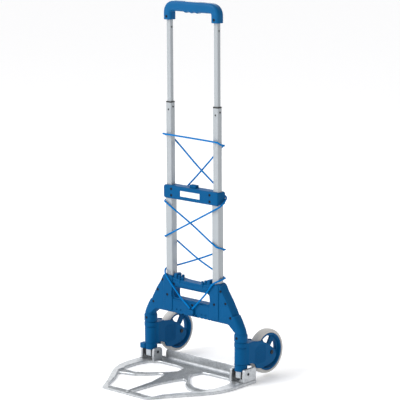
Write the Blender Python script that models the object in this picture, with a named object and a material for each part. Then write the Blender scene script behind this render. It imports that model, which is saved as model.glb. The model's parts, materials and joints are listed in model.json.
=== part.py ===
"""Folding platform cart: telescopic uprights, swing-in wheels and a fold-up toe plate.

Metres, +Z up. The floor is z = 0, the uprights stand in the plane y = 0, the toe plate
reaches forward to -Y and the wheels stand behind at +Y. X is the width, centred on 0.
"""

import math

import bmesh
import bpy
from mathutils import Matrix, Vector

# ---- driving dimensions -------------------------------------------------------------

FIT_GAP = 0.0003  # between pieces that seat on each other
RUN_GAP = 0.0005  # between pieces that turn or slide on each other
TUBE_GAP = 0.001  # between one telescope stage and the next
SPLIT_GAP = 0.0003  # between two half shells

TUBE_SPACING = 0.171  # between the two upright centre lines
LOWER_TUBE_X = 0.024
LOWER_TUBE_Y = 0.0215
LOWER_WALL = 0.0015
MIDDLE_WALL = 0.0013
UPPER_WALL = 0.0012

TUBE_BOTTOM = 0.176  # foot of the lower tubes inside the base
CONNECTOR_BOTTOM = 0.482
CONNECTOR_HEIGHT = 0.037
CONNECTOR_WALL = 0.0025
MIDDLE_TOP = 0.7456
MIDDLE_OVERLAP = 0.076  # middle tube still inside the lower tube at full reach
UPPER_OVERLAP = 0.060  # upper tube still inside the middle tube at full reach
COLLAR_HEIGHT = 0.003
BUSH_HEIGHT = 0.010
GRIP_TOP = 1.0215
GRIP_HEIGHT = 0.050

POST_SPACING = 0.336  # between the two wheel swivel axes
POST_RADIUS = 0.008
POST_TOP = 0.1505
PIN_HEIGHT = 0.030  # toe plate hinge axis above the floor
PIN_RADIUS = 0.004
HINGE_BLOCK_WIDTH = 0.020
HINGE_BLOCK_DEPTH = 0.024
HINGE_BLOCK_BOTTOM = 0.0175
FOOT_BOTTOM = 0.0362
FOOT_TOP = 0.0547
BARREL_RADIUS = 0.0175
COLLAR_BOTTOM = 0.116  # underside of the base's round necks
COLLAR_TOP = 0.139
NECK_RADIUS = 0.0185

PANEL_HALF_DEPTH = 0.0155
SOCKET_HALF_DEPTH = 0.018
SOCKET_WALL = 0.0045
SHELL_WALL = 0.003
SLOT_HALF_WIDTH = 0.067
SLOT_BOTTOM = 0.204
SLOT_TOP = 0.234

WHEEL_RADIUS = 0.062
AXLE_HEIGHT = 0.070
TYRE_WIDTH = 0.028
RIM_RADIUS = 0.0516
HUB_RADIUS = 0.012
AXLE_RADIUS = 0.004
AXLE_REACH = 0.103  # from the swivel axis to the wheel axle
CHEEK_GAP = 0.0025  # between the tyre and each fork cheek
CHEEK_THICKNESS = 0.005
SPOKES = 5

PLATE_REACH = 0.281  # from the uprights forward to the plate's front edge
PLATE_THICKNESS = 0.005
RIM_HEIGHT = 0.0085
EAR_THICKNESS = 0.008
EAR_GAP = 0.0085  # between the hinge block and each ear
EAR_RADIUS = 0.0145
WALL_HEIGHT = 0.032  # upstanding rear wall of the toe plate
WALL_FRONT = 0.0332
WALL_BACK = 0.0365

BUTTON_TRAVEL = 0.004
YOKE_RADIUS = 0.002
SCREW_HEAD_RADIUS = 0.0034
SCREW_HEAD_HEIGHT = 0.0018
SCREW_SHANK_RADIUS = 0.0015
SHORT_SCREW = 0.0062
LONG_SCREW = 0.0230
CORD_DIAMETER = 0.0048

# ---- sizes that follow from them ----------------------------------------------------

TUBE_X = TUBE_SPACING / 2
POST_X = POST_SPACING / 2
MIDDLE_TUBE_X = LOWER_TUBE_X - 2 * (LOWER_WALL + TUBE_GAP)
MIDDLE_TUBE_Y = LOWER_TUBE_Y - 2 * (LOWER_WALL + TUBE_GAP)
UPPER_TUBE_X = MIDDLE_TUBE_X - 2 * (MIDDLE_WALL + TUBE_GAP)
UPPER_TUBE_Y = MIDDLE_TUBE_Y - 2 * (MIDDLE_WALL + TUBE_GAP)
CONNECTOR_TOP = CONNECTOR_BOTTOM + CONNECTOR_HEIGHT
CONNECTOR_HALF_WIDTH = TUBE_X + LOWER_TUBE_X / 2 + CONNECTOR_WALL
CONNECTOR_HALF_DEPTH = LOWER_TUBE_Y / 2 + CONNECTOR_WALL + 0.0032
LOWER_TOP = CONNECTOR_TOP - 0.003
MIDDLE_BOTTOM = CONNECTOR_TOP - MIDDLE_OVERLAP
UPPER_BOTTOM = MIDDLE_TOP - UPPER_OVERLAP
GRIP_BOTTOM = GRIP_TOP - GRIP_HEIGHT
UPPER_TOP = GRIP_BOTTOM + 0.020
SOCKET_HALF_WIDTH = LOWER_TUBE_X / 2 + SOCKET_WALL
SOCKET_TOP = SLOT_TOP + 0.031
HINGE_BLOCK_TOP = FOOT_BOTTOM - FIT_GAP
FORK_BOTTOM = FOOT_TOP + RUN_GAP
FORK_TOP = COLLAR_BOTTOM - RUN_GAP
CHEEK_INNER = TYRE_WIDTH / 2 + CHEEK_GAP
CHEEK_OUTER = CHEEK_INNER + CHEEK_THICKNESS
EAR_INNER = HINGE_BLOCK_WIDTH / 2 + EAR_GAP
EAR_OUTER = EAR_INNER + EAR_THICKNESS
WALL_HALF_WIDTH = POST_X - EAR_OUTER
PLATE_HALF_WIDTH = POST_X + EAR_OUTER + 0.003
EAR_TOP = PIN_HEIGHT + EAR_RADIUS

SIDES = (("left", -1), ("right", 1))

# ---- small modelling tools ----------------------------------------------------------


def make_material(name, colour, roughness, metallic=0.0):
    """Make a Principled material of one colour."""
    material = bpy.data.materials.new(name)
    material.use_nodes = True
    shader = material.node_tree.nodes["Principled BSDF"]
    shader.inputs["Base Color"].default_value = (*colour, 1.0)
    shader.inputs["Roughness"].default_value = roughness
    shader.inputs["Metallic"].default_value = metallic
    return material


def make_object(name, bm, material=None):
    """Turn a bmesh into an object with smooth round faces."""
    bmesh.ops.remove_doubles(bm, verts=bm.verts[:], dist=1e-6)
    bmesh.ops.recalc_face_normals(bm, faces=bm.faces[:])
    mesh = bpy.data.meshes.new(name)
    bm.to_mesh(mesh)
    bm.free()
    mesh.shade_smooth()
    mesh.set_sharp_from_angle(angle=math.radians(35))
    if material:
        mesh.materials.append(material)
    made = bpy.data.objects.new(name, mesh)
    bpy.context.scene.collection.objects.link(made)
    return made


def apply_tool(target, tool, operation="DIFFERENCE"):
    """Cut, join or intersect an object with a hidden tool body."""
    modifier = target.modifiers.new(tool.name, "BOOLEAN")
    modifier.operation = operation
    modifier.solver = "EXACT"
    modifier.object = tool
    tool.hide_render = True
    tool.display_type = "WIRE"


def add_bevel(target, width, segments=2, angle=50):
    """Round the sharp edges of an object."""
    modifier = target.modifiers.new("bevel", "BEVEL")
    modifier.width = width
    modifier.segments = segments
    modifier.limit_method = "ANGLE"
    modifier.angle_limit = math.radians(angle)


def lift(point, level, axis):
    """Place a 2-D outline point at a level along X, Y or Z."""
    first, second = point
    if axis == "X":
        return (level, first, second)
    if axis == "Y":
        return (first, level, second)
    return (first, second, level)


def add_prism(bm, outline, low, high, axis):
    """Add a closed outline extruded between two levels."""
    bottom = [bm.verts.new(lift(point, low, axis)) for point in outline]
    top = [bm.verts.new(lift(point, high, axis)) for point in outline]
    bm.faces.new(bottom)
    bm.faces.new(top)
    for i in range(len(outline)):
        j = (i + 1) % len(outline)
        bm.faces.new((bottom[i], bottom[j], top[j], top[i]))


def add_hollow_prism(bm, outer, inner, low, high, axis):
    """Add a tube whose outer and inner outlines have the same number of points."""
    rings = []
    for outline in (outer, inner):
        for level in (low, high):
            rings.append([bm.verts.new(lift(point, level, axis)) for point in outline])
    outer_low, outer_high, inner_low, inner_high = rings
    for i in range(len(outer)):
        j = (i + 1) % len(outer)
        bm.faces.new((outer_low[i], outer_low[j], outer_high[j], outer_high[i]))
        bm.faces.new((inner_low[i], inner_high[i], inner_high[j], inner_low[j]))
        bm.faces.new((outer_high[i], outer_high[j], inner_high[j], inner_high[i]))
        bm.faces.new((outer_low[i], inner_low[i], inner_low[j], outer_low[j]))


def add_turned(bm, profile, centre, axis, steps):
    """Turn a closed (radius, height) profile about an axis through a centre."""
    rings = []
    for step in range(steps):
        angle = 2 * math.pi * step / steps
        ring = []
        for radius, height in profile:
            flat = (radius * math.cos(angle), radius * math.sin(angle))
            ring.append(bm.verts.new(Vector(lift(flat, height, axis)) + Vector(centre)))
        rings.append(ring)
    count = len(profile)
    for step in range(steps):
        here, there = rings[step], rings[(step + 1) % steps]
        for i in range(count):
            j = (i + 1) % count
            if profile[i][0] == 0 and profile[j][0] == 0:
                continue
            bm.faces.new((here[i], here[j], there[j], there[i]))
    bmesh.ops.remove_doubles(bm, verts=bm.verts[:], dist=1e-7)
    flat_faces = [face for face in bm.faces if face.calc_area() < 1e-12]
    bmesh.ops.delete(bm, geom=flat_faces, context="FACES_ONLY")


def add_rod(bm, radius, low, high, centre, axis, steps=16):
    """Add a plain round rod between two levels."""
    outline = circle(radius, steps, flat_centre(centre, axis))
    add_prism(bm, outline, low, high, axis)


def flat_centre(centre, axis):
    """Drop the coordinate along an axis from a 3-D centre."""
    return tuple(value for value, name in zip(centre, "XYZ") if name != axis)


def circle(radius, steps, centre=(0, 0)):
    """Points around a circle."""
    points = []
    for step in range(steps):
        angle = 2 * math.pi * step / steps
        points.append((centre[0] + radius * math.cos(angle), centre[1] + radius * math.sin(angle)))
    return points


def round_corners(corners, steps=4):
    """Round each (x, y, radius) corner of an outline with an arc."""
    outline = []
    count = len(corners)
    for i, (x, y, radius) in enumerate(corners):
        here = Vector((x, y))
        if radius == 0:
            outline.append((x, y))
            continue
        before = (Vector(corners[i - 1][:2]) - here).normalized()
        after = (Vector(corners[(i + 1) % count][:2]) - here).normalized()
        half = before.angle(after) / 2
        middle = (before + after).normalized()
        arc_centre = here + middle * (radius / math.sin(half))
        start = here + before * (radius / math.tan(half)) - arc_centre
        end = here + after * (radius / math.tan(half)) - arc_centre
        sweep = start.angle_signed(end)
        for step in range(steps + 1):
            turned = Matrix.Rotation(-sweep * step / steps, 2) @ start
            outline.append(tuple(arc_centre + turned))
    return outline


def rounded_box(width, depth, radius, centre=(0, 0), steps=3):
    """Outline of a rectangle with round corners."""
    x, y = centre
    half_w, half_d = width / 2, depth / 2
    corners = [
        (x - half_w, y - half_d, radius),
        (x + half_w, y - half_d, radius),
        (x + half_w, y + half_d, radius),
        (x - half_w, y + half_d, radius),
    ]
    return round_corners(corners, steps)


def mirrored(half):
    """Close a right-hand half outline with its mirror image in x."""
    left = [(-point[0], *point[1:]) for point in reversed(half) if point[0] > 1e-6]
    return list(half) + left


def make_prism(name, outline, low, high, axis, material=None):
    """Make one object from one extruded outline."""
    bm = bmesh.new()
    add_prism(bm, outline, low, high, axis)
    return make_object(name, bm, material)


def smooth_route(points, turn, run):
    """Read points from a smooth curve through a route, closer together in its bends."""
    path = [Vector(point) for point in points]
    ends = [2 * path[0] - path[1], *path, 2 * path[-1] - path[-2]]
    dense = []
    for i in range(1, len(ends) - 2):
        for step in range(10):
            dense.append(catmull_rom(ends[i - 1 : i + 3], step / 10))
    dense.append(path[-1])
    kept = [dense[0]]
    heading = dense[1] - dense[0]
    for before, here in zip(dense, dense[1:-1]):
        turned = (here - before).angle(heading)
        if turned > turn or (here - kept[-1]).length > run:
            kept.append(here)
            heading = here - before
    kept.append(dense[-1])
    return kept


def catmull_rom(window, t):
    """Point on the curve between the middle two of four points."""
    a, b, c, d = window
    return (
        2 * b + (c - a) * t + (2 * a - 5 * b + 4 * c - d) * t**2 + (3 * b - a - 3 * c + d) * t**3
    ) / 2


def make_round_curve(name, points, radius, sides_step, material):
    """Make a round bar or cord along points, with closed ends."""
    curve = bpy.data.curves.new(name, "CURVE")
    curve.dimensions = "3D"
    curve.bevel_depth = radius
    curve.bevel_resolution = sides_step
    curve.use_fill_caps = True
    spline = curve.splines.new("POLY")
    spline.points.add(len(points) - 1)
    for target, point in zip(spline.points, points):
        target.co = (*point, 1.0)
    curve.materials.append(material)
    made = bpy.data.objects.new(name, curve)
    bpy.context.scene.collection.objects.link(made)
    return made


def make_half(name, whole_maker, side, reach, material):
    """Make the front (-1) or back (+1) half of a body split at y = 0."""
    half = whole_maker(name, material)
    low, high = sorted((side * SPLIT_GAP / 2, side * reach))
    tool = make_prism(f"cut_{name}_half", rounded_box(1.0, 3.0, 0), low, high, "Y")
    apply_tool(half, tool, "INTERSECT")
    return half


# ---- screws -------------------------------------------------------------------------


def screw_profile(length):
    """Turned profile of a pan head screw, head up at height 0."""
    return [
        (0, 0),
        (SCREW_HEAD_RADIUS, 0),
        (SCREW_HEAD_RADIUS, SCREW_HEAD_HEIGHT),
        (SCREW_SHANK_RADIUS, SCREW_HEAD_HEIGHT),
        (SCREW_SHANK_RADIUS, length),
        (0, length),
    ]


def make_screw(name, x, z, front, material, length):
    """Make a screw whose head faces -Y, sunk just below a front face."""
    bm = bmesh.new()
    add_turned(bm, screw_profile(length), (0, 0, 0), "Y", 6)
    screw = make_object(name, bm, material)
    screw.location = (x, front + FIT_GAP, z)
    return screw


def add_screw_hole(bm, x, z, front, length):
    """Add the stepped hole that one screw sits in."""
    profile = [
        (0, -0.004),
        (SCREW_HEAD_RADIUS + FIT_GAP, -0.004),
        (SCREW_HEAD_RADIUS + FIT_GAP, 2 * FIT_GAP + SCREW_HEAD_HEIGHT),
        (SCREW_SHANK_RADIUS + FIT_GAP, 2 * FIT_GAP + SCREW_HEAD_HEIGHT),
        (SCREW_SHANK_RADIUS + FIT_GAP, 2 * FIT_GAP + length),
        (0, 2 * FIT_GAP + length),
    ]
    hole = bmesh.new()
    add_turned(hole, profile, (x, front, z), "Y", 6)
    mesh = bpy.data.meshes.new("hole")
    hole.to_mesh(mesh)
    hole.free()
    bm.from_mesh(mesh)
    bpy.data.meshes.remove(mesh)


# ---- uprights -----------------------------------------------------------------------


def make_tube(name, x, size, wall, radius, low, high, material):
    """Make one rectangular tube with round corners."""
    bm = bmesh.new()
    outer = rounded_box(size[0], size[1], radius, (x, 0))
    inner = rounded_box(size[0] - 2 * wall, size[1] - 2 * wall, radius - wall * 0.6, (x, 0))
    add_hollow_prism(bm, outer, inner, low, high, "Z")
    return make_object(name, bm, material)


def make_bush(name, x, outer, bore, bottom, material):
    """Make a slide bush: a block below a tube's end with a spigot inside it."""
    bm = bmesh.new()
    top = bottom + BUSH_HEIGHT
    spigot = (bore[0] - 2 * FIT_GAP, bore[1] - 2 * FIT_GAP)
    add_prism(bm, rounded_box(outer[0], outer[1], 0.0015, (x, 0)), bottom, top, "Z")
    bush = make_object(name, bm, material)
    tool = make_prism(
        f"join_{name}", rounded_box(spigot[0], spigot[1], 0.001, (x, 0)), top - 0.002, top + 0.008, "Z"
    )
    apply_tool(bush, tool, "UNION")
    return bush


def build_uprights(paint):
    """Build the three telescope stages with their bushes, collars and lock pins."""
    lower = (LOWER_TUBE_X, LOWER_TUBE_Y)
    middle = (MIDDLE_TUBE_X, MIDDLE_TUBE_Y)
    upper = (UPPER_TUBE_X, UPPER_TUBE_Y)
    lower_bore = tuple(size - 2 * LOWER_WALL for size in lower)
    middle_bore = tuple(size - 2 * MIDDLE_WALL for size in middle)
    upper_bore = tuple(size - 2 * UPPER_WALL for size in upper)
    lower_slide = tuple(size - 2 * FIT_GAP for size in lower_bore)
    middle_slide = tuple(size - 2 * FIT_GAP for size in middle_bore)
    for side, sign in SIDES:
        x = sign * TUBE_X
        make_tube(f"lower_tube_{side}", x, lower, LOWER_WALL, 0.003, TUBE_BOTTOM, LOWER_TOP, paint["tube"])
        middle_tube = make_tube(
            f"middle_tube_{side}", x, middle, MIDDLE_WALL, 0.0025, MIDDLE_BOTTOM, MIDDLE_TOP, paint["tube"]
        )
        upper_tube = make_tube(
            f"upper_tube_{side}", x, upper, UPPER_WALL, 0.002, UPPER_BOTTOM, UPPER_TOP, paint["tube"]
        )
        bottom = MIDDLE_BOTTOM - FIT_GAP - BUSH_HEIGHT
        make_bush(f"middle_bush_{side}", x, lower_slide, middle_bore, bottom, paint["black"])
        bottom = UPPER_BOTTOM - FIT_GAP - BUSH_HEIGHT
        make_bush(f"upper_bush_{side}", x, middle_slide, upper_bore, bottom, paint["black"])
        make_collar(f"collar_{side}", x, middle, upper, paint["black"])
        make_lock_pin(side, x, middle_tube, paint["black"])
        hole = bmesh.new()
        high = x + UPPER_TUBE_X / 2
        add_rod(hole, 0.0025, high - 0.004, high + 0.002, (0, 0, GRIP_BOTTOM - 0.0205), "X", 12)
        apply_tool(upper_tube, make_object(f"cut_lock_hole_{side}", hole))


def make_collar(name, x, middle, upper, material):
    """Make the thin end collar on top of a middle tube."""
    bm = bmesh.new()
    low = MIDDLE_TOP + FIT_GAP
    outer = rounded_box(middle[0] + 0.001, middle[1] + 0.001, 0.003, (x, 0))
    inner = rounded_box(upper[0] + 2 * RUN_GAP, upper[1] + 2 * RUN_GAP, 0.0022, (x, 0))
    add_hollow_prism(bm, outer, inner, low, low + COLLAR_HEIGHT, "Z")
    return make_object(name, bm, material)


def make_lock_pin(side, x, tube, material):
    """Make the lock pin through a middle tube's front wall."""
    front = -MIDDLE_TUBE_Y / 2
    height = MIDDLE_TOP - 0.019
    bm = bmesh.new()
    profile = [(0, 0), (0.0019, 0), (0.0024, 0.0008), (0.0024, MIDDLE_WALL + 0.0011), (0, MIDDLE_WALL + 0.0011)]
    add_turned(bm, profile, (0, 0, 0), "Y", 12)
    pin = make_object(f"lock_pin_{side}", bm, material)
    pin.location = (x, front - 0.0008, height)
    hole = bmesh.new()
    add_rod(hole, 0.0024 + FIT_GAP, front - 0.002, front + MIDDLE_WALL + 0.001, (x, 0, height), "Y", 12)
    apply_tool(tube, make_object(f"cut_pin_hole_{side}", hole))


# ---- grip ---------------------------------------------------------------------------

GRIP_HALF_WIDTH = TUBE_X + UPPER_TUBE_X / 2 + 0.0073
GRIP_HALF_DEPTH = 0.0135
GRIP_LEG_INNER = TUBE_X - UPPER_TUBE_X / 2 - 0.0065
GRIP_UNDERSIDE = GRIP_TOP - 0.0255
BUTTON_HALF_LENGTH = 0.026
BUTTON_HALF_WIDTH = 0.0065
YOKE_LEVEL = GRIP_TOP - 0.0155


def grip_outline():
    """Front view of the grip: two legs and a crowned bar with finger waves below."""
    right = [
        (0, GRIP_TOP, 0),
        (0.040, GRIP_TOP - 0.0005, 0),
        (GRIP_HALF_WIDTH - 0.018, GRIP_TOP - 0.002, 0.012),
        (GRIP_HALF_WIDTH, GRIP_TOP - 0.016, 0.014),
        (GRIP_HALF_WIDTH - 0.001, GRIP_BOTTOM, 0.002),
        (GRIP_LEG_INNER, GRIP_BOTTOM, 0.002),
        (GRIP_LEG_INNER, GRIP_UNDERSIDE - 0.002, 0.009),
    ]
    outline = round_corners(right, 3)
    for x, drop in ((0.042, 0.0), (0.030, 0.0025), (0.020, 0.0), (0.010, 0.0030), (0.0, 0.0)):
        outline.append((x, GRIP_UNDERSIDE - drop))
    return mirrored_open(outline)


def mirrored_open(half):
    """Close a half outline that starts and ends on x = 0."""
    inner = [point for point in half if point[0] > 1e-6]
    return [half[0], *inner, half[-1], *[(-x, z) for x, z in reversed(inner)]]


def grip_body(name, material):
    """The whole grip with its tube sockets, button well and yoke channel."""
    grip = make_prism(name, grip_outline(), -GRIP_HALF_DEPTH, GRIP_HALF_DEPTH, "Y", material)
    add_bevel(grip, 0.0055, 2, 55)
    bm = bmesh.new()
    for _, sign in SIDES:
        section = rounded_box(
            UPPER_TUBE_X + 2 * FIT_GAP, UPPER_TUBE_Y + 2 * FIT_GAP, 0.002, (sign * TUBE_X, 0)
        )
        add_prism(bm, section, GRIP_BOTTOM - 0.01, UPPER_TOP + FIT_GAP, "Z")
    apply_tool(grip, make_object(f"cut_{name}_sockets", bm))
    channel_half = TUBE_X + YOKE_RADIUS + 0.001
    channel_low = YOKE_LEVEL - BUTTON_TRAVEL - YOKE_RADIUS - 0.001
    channel = [
        (-channel_half, channel_low),
        (channel_half, channel_low),
        (channel_half, YOKE_LEVEL + YOKE_RADIUS + 0.001),
        (-channel_half, YOKE_LEVEL + YOKE_RADIUS + 0.001),
    ]
    depth = YOKE_RADIUS + 0.001
    apply_tool(grip, make_prism(f"cut_{name}_channel", channel, -depth, depth, "Y"))
    well = rounded_box(2 * (BUTTON_HALF_LENGTH + RUN_GAP), 2 * (BUTTON_HALF_WIDTH + RUN_GAP), 0.004)
    well_low = YOKE_LEVEL - 0.0032
    apply_tool(grip, make_prism(f"cut_{name}_well", well, well_low, GRIP_TOP + 0.01, "Z"))
    legs = bmesh.new()
    for _, sign in SIDES:
        shaft = rounded_box(2 * depth + 0.004, 2 * depth, 0.001, (sign * TUBE_X, 0), 1)
        add_prism(legs, shaft, UPPER_TOP - 0.002, YOKE_LEVEL, "Z")
    apply_tool(grip, make_object(f"cut_{name}_legs", legs))
    holes = bmesh.new()
    for _, sign in SIDES:
        add_screw_hole(holes, sign * TUBE_X, GRIP_BOTTOM + 0.0085, -GRIP_HALF_DEPTH, SHORT_SCREW)
    apply_tool(grip, make_object(f"cut_{name}_screws", holes))
    return grip


def build_grip(paint):
    """Build the two grip shells, their screws, the push button, its yoke and spring."""
    reach = GRIP_HALF_DEPTH + 0.01
    make_half("grip_front_shell", grip_body, -1, reach, paint["grip"])
    make_half("grip_back_shell", grip_body, 1, reach, paint["grip"])
    for side, sign in SIDES:
        height = GRIP_BOTTOM + 0.0085
        make_screw(f"grip_screw_{side}", sign * TUBE_X, height, -GRIP_HALF_DEPTH, paint["dark"], SHORT_SCREW)
    button_low = YOKE_LEVEL + YOKE_RADIUS + FIT_GAP
    outline = rounded_box(2 * BUTTON_HALF_LENGTH, 2 * BUTTON_HALF_WIDTH, 0.0035)
    button = make_prism("grip_button", outline, button_low, GRIP_TOP + 0.002, "Z", paint["tube"])
    add_bevel(button, 0.0012, 2, 60)
    bottom = UPPER_BOTTOM + 0.012
    route = [
        (-TUBE_X, 0, bottom),
        (-TUBE_X, 0, YOKE_LEVEL - 0.006),
        (-TUBE_X + 0.002, 0, YOKE_LEVEL - 0.002),
        (-TUBE_X + 0.006, 0, YOKE_LEVEL),
    ]
    route += [(-x, y, z) for x, y, z in reversed(route)]
    make_round_curve("release_yoke", route, YOKE_RADIUS, 2, paint["steel"])


# ---- connector ----------------------------------------------------------------------

RELEASE_HALF_LENGTH = 0.0125
RELEASE_HALF_WIDTH = 0.007
RELEASE_PROUD = 0.0085
RELEASE_WELL = 0.016
CONNECTOR_SCREW_X = TUBE_X - LOWER_TUBE_X / 2 - 0.0030
CONNECTOR_SCREWS = (CONNECTOR_BOTTOM + 0.0095, CONNECTOR_TOP - 0.0095)


def connector_body(name, material):
    """The whole connector that clamps the lower tubes and guides the middle ones."""
    half_height = CONNECTOR_HEIGHT / 2
    outline = rounded_box(
        2 * CONNECTOR_HALF_WIDTH, CONNECTOR_HEIGHT, 0.010, (0, CONNECTOR_BOTTOM + half_height), 4
    )
    body = make_prism(name, outline, -CONNECTOR_HALF_DEPTH, CONNECTOR_HALF_DEPTH, "Y", material)
    add_bevel(body, 0.004, 2, 55)
    lower = bmesh.new()
    upper = bmesh.new()
    for _, sign in SIDES:
        centre = (sign * TUBE_X, 0)
        section = rounded_box(LOWER_TUBE_X + 2 * FIT_GAP, LOWER_TUBE_Y + 2 * FIT_GAP, 0.003, centre)
        add_prism(lower, section, CONNECTOR_BOTTOM - 0.01, LOWER_TOP + FIT_GAP, "Z")
        section = rounded_box(MIDDLE_TUBE_X + 2 * RUN_GAP, MIDDLE_TUBE_Y + 2 * RUN_GAP, 0.0025, centre)
        add_prism(upper, section, LOWER_TOP - 0.002, CONNECTOR_TOP + 0.01, "Z")
    apply_tool(body, make_object(f"cut_{name}_lower", lower))
    apply_tool(body, make_object(f"cut_{name}_upper", upper))
    well = rounded_box(2 * (RELEASE_HALF_LENGTH + RUN_GAP), 2 * (RELEASE_HALF_WIDTH + RUN_GAP), 0.003)
    low = CONNECTOR_TOP - RELEASE_WELL
    apply_tool(body, make_prism(f"cut_{name}_well", well, low, CONNECTOR_TOP + 0.01, "Z"))
    holes = bmesh.new()
    for _, sign in SIDES:
        for z in CONNECTOR_SCREWS:
            add_screw_hole(holes, sign * CONNECTOR_SCREW_X, z, -CONNECTOR_HALF_DEPTH, LONG_SCREW)
    apply_tool(body, make_object(f"cut_{name}_screws", holes))
    return body


def build_connector(paint):
    """Build the connector's two shells, its screws and its release button."""
    reach = CONNECTOR_HALF_DEPTH + 0.01
    make_half("connector_front_shell", connector_body, -1, reach, paint["frame"])
    make_half("connector_back_shell", connector_body, 1, reach, paint["frame"])
    for side, sign in SIDES:
        for level, z in zip(("lower", "upper"), CONNECTOR_SCREWS):
            name = f"connector_screw_{side}_{level}"
            x = sign * CONNECTOR_SCREW_X
            make_screw(name, x, z, -CONNECTOR_HALF_DEPTH, paint["dark"], LONG_SCREW)
    outline = rounded_box(2 * RELEASE_HALF_LENGTH, 2 * RELEASE_HALF_WIDTH, 0.0025)
    low = CONNECTOR_TOP - RELEASE_WELL + BUTTON_TRAVEL + 0.004
    button = make_prism("release_button", outline, low, CONNECTOR_TOP + RELEASE_PROUD, "Z", paint["frame"])
    add_bevel(button, 0.0018, 2, 60)
    spring_low = CONNECTOR_TOP - RELEASE_WELL + FIT_GAP
    make_round_curve(
        "release_spring", spring_points(0.0038, spring_low + 0.0006, low - 0.0009, 3), 0.0005, 0, paint["steel"]
    )


def spring_points(radius, low, high, turns):
    """Points along a coil spring, ten to a turn."""
    points = []
    for i in range(turns * 10 + 1):
        angle = 2 * math.pi * i / 10
        height = low + (high - low) * i / (turns * 10)
        points.append((radius * math.cos(angle), radius * math.sin(angle), height))
    return points


# ---- base ---------------------------------------------------------------------------

BASE_ARCH = 0.161
CLIP_CENTRE_X = 0.004
SOCKET_BOTTOM = 0.172


def leg_x(share):
    """X of a point on a base leg: 0 is over the upright, 1 over the wheel post."""
    return TUBE_X + share * (POST_X - TUBE_X)


BASE_SCREWS = {
    "upper": (leg_x(0.27), 0.2490, PANEL_HALF_DEPTH, LONG_SCREW),
    "middle": (leg_x(0.49), 0.2175, PANEL_HALF_DEPTH, LONG_SCREW),
    "lower": (leg_x(0.70), 0.1805, PANEL_HALF_DEPTH, LONG_SCREW),
    "socket": (TUBE_X + 0.0015, SLOT_BOTTOM + 0.0055, SOCKET_HALF_DEPTH, SHORT_SCREW),
    "rail": (SLOT_HALF_WIDTH - 0.0035, SLOT_TOP + 0.0095, PANEL_HALF_DEPTH, LONG_SCREW),
    "neck": (POST_X, COLLAR_TOP - 0.0095, NECK_RADIUS, SHORT_SCREW),
}


def base_outline():
    """Front view of the base panel: a flared trapezium over an arch."""
    foot = COLLAR_BOTTOM + 0.010
    right = [
        (0, SLOT_TOP + 0.0235, 0),
        (0.53 * TUBE_X, SLOT_TOP + 0.0260, 0),
        (leg_x(0.15), SOCKET_TOP + 0.0030, 0.006),
        (leg_x(0.25), SOCKET_TOP - 0.0030, 0.005),
        (leg_x(0.34), 0.2470, 0.010),
        (leg_x(0.54), 0.2240, 0.060),
        (leg_x(0.73), 0.1970, 0.060),
        (leg_x(0.89), 0.1680, 0.040),
        (POST_X + 0.0020, 0.1440, 0.020),
        (POST_X + 0.0030, foot, 0),
        (POST_X - 0.0120, foot, 0),
        (POST_X - 0.0120, 0.1370, 0.010),
        (leg_x(0.58), BASE_ARCH, 0.040),
        (0, BASE_ARCH, 0),
    ]
    return mirrored_open(round_corners(right, 2))


def wing_pocket():
    """Hollow of one base wing, outboard of the tube socket."""
    inner = TUBE_X + SOCKET_HALF_WIDTH + 0.001
    return round_corners(
        [
            (inner, 0.2500, 0.001),
            (inner, BASE_ARCH + 0.005, 0.001),
            (leg_x(0.55), BASE_ARCH + 0.005, 0.004),
            (leg_x(0.79), 0.1520, 0.003),
            (leg_x(0.89), 0.1520, 0.003),
            (leg_x(0.66), 0.1915, 0.002),
            (leg_x(0.42), 0.2260, 0.002),
            (leg_x(0.25), 0.2500, 0.001),
        ],
        2,
    )


def half_span(side, depth):
    """Levels along Y of the front (-1) or back (+1) half of a body this deep."""
    return sorted((side * SPLIT_GAP / 2, side * depth))


def make_necks(name, side):
    """Half of the two round necks that stand on the wheel posts."""
    bm = bmesh.new()
    for _, sign in SIDES:
        add_half_turned(
            bm,
            [
                (0, COLLAR_BOTTOM),
                (NECK_RADIUS, COLLAR_BOTTOM),
                (NECK_RADIUS, COLLAR_TOP),
                (NECK_RADIUS - 0.004, COLLAR_TOP + 0.006),
                (NECK_RADIUS - 0.004, POST_TOP + 0.004),
                (0, POST_TOP + 0.004),
            ],
            (sign * POST_X, side * SPLIT_GAP / 2, 0),
            side,
        )
    return make_object(name, bm)


def add_half_turned(bm, profile, centre, side, steps=10):
    """Turn a profile half way round Z, closed by a flat face towards y = 0."""
    rings = []
    for step in range(steps + 1):
        angle = side * math.pi * step / steps
        ring = []
        for radius, height in profile:
            spot = Vector((radius * math.cos(angle), radius * math.sin(angle), height))
            ring.append(bm.verts.new(spot + Vector(centre)))
        rings.append(ring)
    count = len(profile)
    for here, there in zip(rings, rings[1:]):
        for i in range(count):
            j = (i + 1) % count
            if profile[i][0] == 0 and profile[j][0] == 0:
                continue
            bm.faces.new((here[i], here[j], there[j], there[i]))
    bmesh.ops.remove_doubles(bm, verts=bm.verts[:], dist=1e-7)
    flat_faces = [face for face in bm.faces if face.calc_area() < 1e-12]
    bmesh.ops.delete(bm, geom=flat_faces, context="FACES_ONLY")
    rim = [edge for edge in bm.edges if len(edge.link_faces) == 1]
    bmesh.ops.holes_fill(bm, edges=rim, sides=0)


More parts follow.
